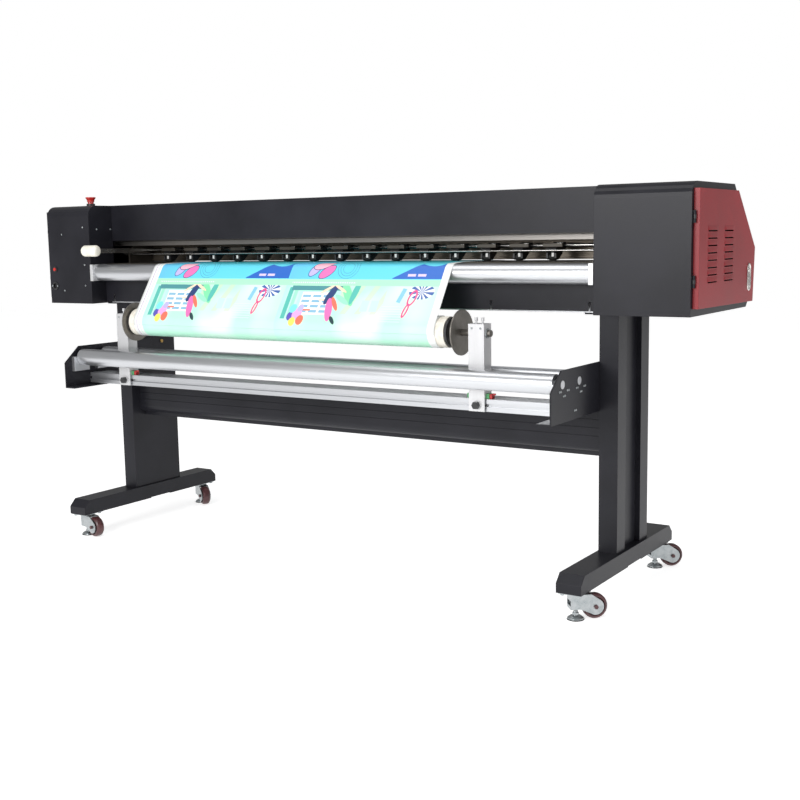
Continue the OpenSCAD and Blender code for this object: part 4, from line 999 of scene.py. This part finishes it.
# %% [markdown]
# ## Fittings on the pinch arms
# Every pinch unit carries a bright adjuster, a white clip and a coil spring that presses the roller
# down. The spring is a circle swept along a helix, drawn once, and the whole set is scattered.

# %% Pinch unit fittings
arms_low, arms_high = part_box("pinch_arms")
PINCH_COUNT, ARM_W = 15, 34 * MM
pinch_pitch = (arms_high.x - arms_low.x - ARM_W) / (PINCH_COUNT - 1)
unit_x = [arms_low.x + ARM_W / 2 + i * pinch_pitch for i in range(PINCH_COUNT)]


def coil(name, radius, wire, length, turns, around=12, sides=8):
    """A spring on the Z axis with closed ends."""
    bm = bmesh.new()
    count = int(turns * around)
    rings = []
    for i in range(count + 1):
        a = 2 * math.pi * i / around
        centre = Vector((radius * math.cos(a), radius * math.sin(a), length * i / count))
        out = Vector((math.cos(a), math.sin(a), 0))
        rings.append([bm.verts.new(centre + wire * (out * math.cos(b) + UP * math.sin(b)))
                      for b in (2 * math.pi * k / sides for k in range(sides))])
    skin(bm, rings)
    bm.faces.new(rings[0])
    bm.faces.new(rings[-1][::-1])
    return smooth(to_object(name, bm), 60)


spring = coil("spring", 4.5 * MM, 0.7 * MM, 16 * MM, 6)
adjuster = box_piece("adjuster", (0, -5 * MM, -4 * MM), (15 * MM, 5 * MM, 5 * MM), 0.8 * MM)
clip = box_piece("clip", (-4 * MM, -6 * MM, 0), (4 * MM, 6 * MM, 1.6 * MM), 0.5 * MM)
bridge = box_piece("bridge", (-34 * MM, -9 * MM, -6 * MM), (34 * MM, 5 * MM, 6 * MM), 1.2 * MM)
arm_top, arm_front = arms_high.z, arms_low.y
for name, shape, dx, dy, z, turned, slot, material in (
        ("adjusters", adjuster, ARM_W / 2, 14 * MM, arm_top - 7 * MM, (UP, -FRONT), "bright_steel", None),
        ("bridges", bridge, 0, 17 * MM, arm_top - 9 * MM, (UP, -FRONT), "dark_bracket", None),
        ("clips", clip, 6 * MM, 0, platen_high.z + 20 * MM, (FRONT, UP), "ivory_plastic", WHITE_CLIP),
        ("arm_springs", spring, -ARM_W / 2 - 6 * MM, 22 * MM, arm_top - 24 * MM, (UP, -FRONT),
         "bright_steel", None)):
    points = [(Vector((x + dx, arm_front + dy, z)), *turned) for x in unit_x]
    scatter(name, shape, points, "pinch_lift", slot, material)

# %% [markdown]
# ## Post fittings
# A post slides on the rail between two green stops and is held by a red cam lever. Its shaft runs
# in a bearing whose outer ring shows on the side. All of these ride with their own post.

# %% Post fittings
deck = rail_high.z + 0.6 * MM
stop_y = rail_low.y + 2 * MM
BEARING = [(10.3, 0), (15, 0), (15, 2.4), (14.2, 3), (11.4, 3), (10.3, 2.2)]


def rail_block(name, face_x, low, high, bevel):
    """A block on the rail, its corners in millimetres from a post's face, the stops' front and the deck."""
    corner = Vector((face_x, stop_y, deck))
    return box_piece(name, corner + Vector(low) * MM, corner + Vector(high) * MM, bevel * MM)


for side in ("left", "right"):
    post_low, post_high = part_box("post_" + side)
    body = "post_" + side
    stops = join("stops_" + side, [
        rail_block("stop", post_low.x, (-11, 0, 0), (-0.2, 22, 15), 1),
        rail_block("stop", post_high.x, (0.2, 0, 0), (11, 22, 15), 1)])
    fit(stops, body, "black_plastic", GREEN_STOP)
    cam = join("cam_" + side, [
        rail_block("cam", post_high.x, (11.5, 1, 0), (20, 20, 15), 1.5),
        rail_block("tip", post_high.x, (18, 4, 12), (30, 10, 17), 1.5)])
    fit(cam, body, "red_button", RED_CAM)
    bearings = [lathe("bearing", in_mm(BEARING), 40, aim(Vector((x, roll_at.y, roll_at.z)), facing))
                for x, facing in ((post_high.x, RIGHT), (post_low.x, LEFT))]
    fit(join("bearing_" + side, bearings), body, "zinc")
    middle = (post_low.x + post_high.x) / 2
    points = [(Vector((middle + s * 15 * MM, post_low.y, post_high.z - 31 * MM)), FRONT, UP)
              for s in (-1, 1)]
    scatter("post_screws_" + side, m4_head, points, body, "zinc")

# %% [markdown]
# ## Core plugs
# The chuck grips the core with a plug whose moulded black collar shows between the core and the
# disc. It is a turned ring with rounded rims that covers the plain flange of the CAD chuck.

# %% Core plug collars
COLLAR = [(18.5, 0.6), (44.8, 0.6), (45.6, 1.4), (45.6, 8.2), (44.2, 9.4), (30, 9.4), (29, 8.8), (18.5, 8.8)]
for side, end, facing in (("left", core_low.x, LEFT), ("right", core_high.x, RIGHT)):
    collar = lathe("plug_collar_" + side, in_mm(COLLAR), 56,
                   aim(Vector((end, roll_at.y, roll_at.z)), facing))
    fit(collar, "chuck_" + side, "black_plastic")

# %% [markdown]
# ## Casters
# Each levelling foot has a threaded stem and a thin rubber ring under its metal dome. The thread is a
# stack of turned rings, close enough to a real pitch at this size.

# %% Threads and rubber rings
# Radius past the pad's edge, and height, in millimetres
PAD_RING = ((-4, 0.05), (0.6, 0.05), (1.0, 1.6), (0.4, 3.0), (-4, 3.0))
THREAD_FOOT, PITCH, TURNS, CREST, ROOT, BORE = 22, 1.75, 6, 6.35, 5.9, 5.0
thread = [(ROOT, THREAD_FOOT)]
for base in (THREAD_FOOT + PITCH * i for i in range(TURNS)):
    thread += [(CREST, base + 0.4), (CREST, base + 0.8), (ROOT, base + 1.3)]
thread += [(BORE, thread[-1][1]), (BORE, THREAD_FOOT)]
for key in ("fl", "fr", "rl", "rr"):
    pad_low, pad_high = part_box("pad_" + key)
    at = (pad_low + pad_high) / 2
    radius = (pad_high.x - pad_low.x) / 2
    under = Matrix.Translation((at.x, at.y, 0))
    tread = lathe("pad_ring_" + key, [(radius + dr * MM, z * MM) for dr, z in PAD_RING], 48, under)
    fit(tread, "pad_" + key, "black_rubber")
    fit(lathe("thread_" + key, in_mm(thread), 24, under), "pad_" + key, "zinc")

# %% [markdown]
# ## Studio
# A white floor and three large soft lights are all that a product picture needs. The world is white, and
# dimmer as a light than as a backdrop, so black paint stays black and metal has something to mirror.

# %% Studio


def area_light(name, at, target, size, power):
    data = bpy.data.lights.new(name, "AREA")
    data.shape = "RECTANGLE"
    data.size, data.size_y = size
    data.energy = power
    obj = link_object(name, data)
    direction = Vector(target) - Vector(at)
    obj.matrix_world = Matrix.Translation(at) @ direction.to_track_quat("-Z", "Y").to_matrix().to_4x4()
    return obj


area_light("key", (-0.1, -4.1, 1.9), (0.6, 0, 0.9), (2.4, 1.7), 118)
area_light("top", (0.2, -1.0, 3.8), (0.2, 0, 0.6), (3.6, 1.6), 48)
area_light("side", (4.6, -0.2, 2.0), (1.0, 0, 0.9), (1.6, 1.6), 34)
world = bpy.data.worlds.new("studio")
world.use_nodes = True
scene.world = world
sky = world.node_tree
SKY_AS_LIGHT = 0.38  # the world's strength on the machine, where the backdrop has 1
camera_ray = put(sky, "ShaderNodeLightPath").outputs["Is Camera Ray"]
sky.links.new(ramp(sky, camera_ray, 0.0, 1.0, SKY_AS_LIGHT), sky.nodes["Background"].inputs["Strength"])
sky.nodes["Background"].inputs["Color"].default_value = (1.0, 1.0, 1.0, 1)
bm = bmesh.new()
bmesh.ops.create_grid(bm, x_segments=1, y_segments=1, size=14)
floor = to_object("studio_floor", bm)
floor.data.materials.append(FLOOR)
floor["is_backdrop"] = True

# %% Finish
for pattern in (m4_head, m8_head, hood, spring, adjuster, bridge, clip):
    bpy.data.objects.remove(pattern)
low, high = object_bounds()
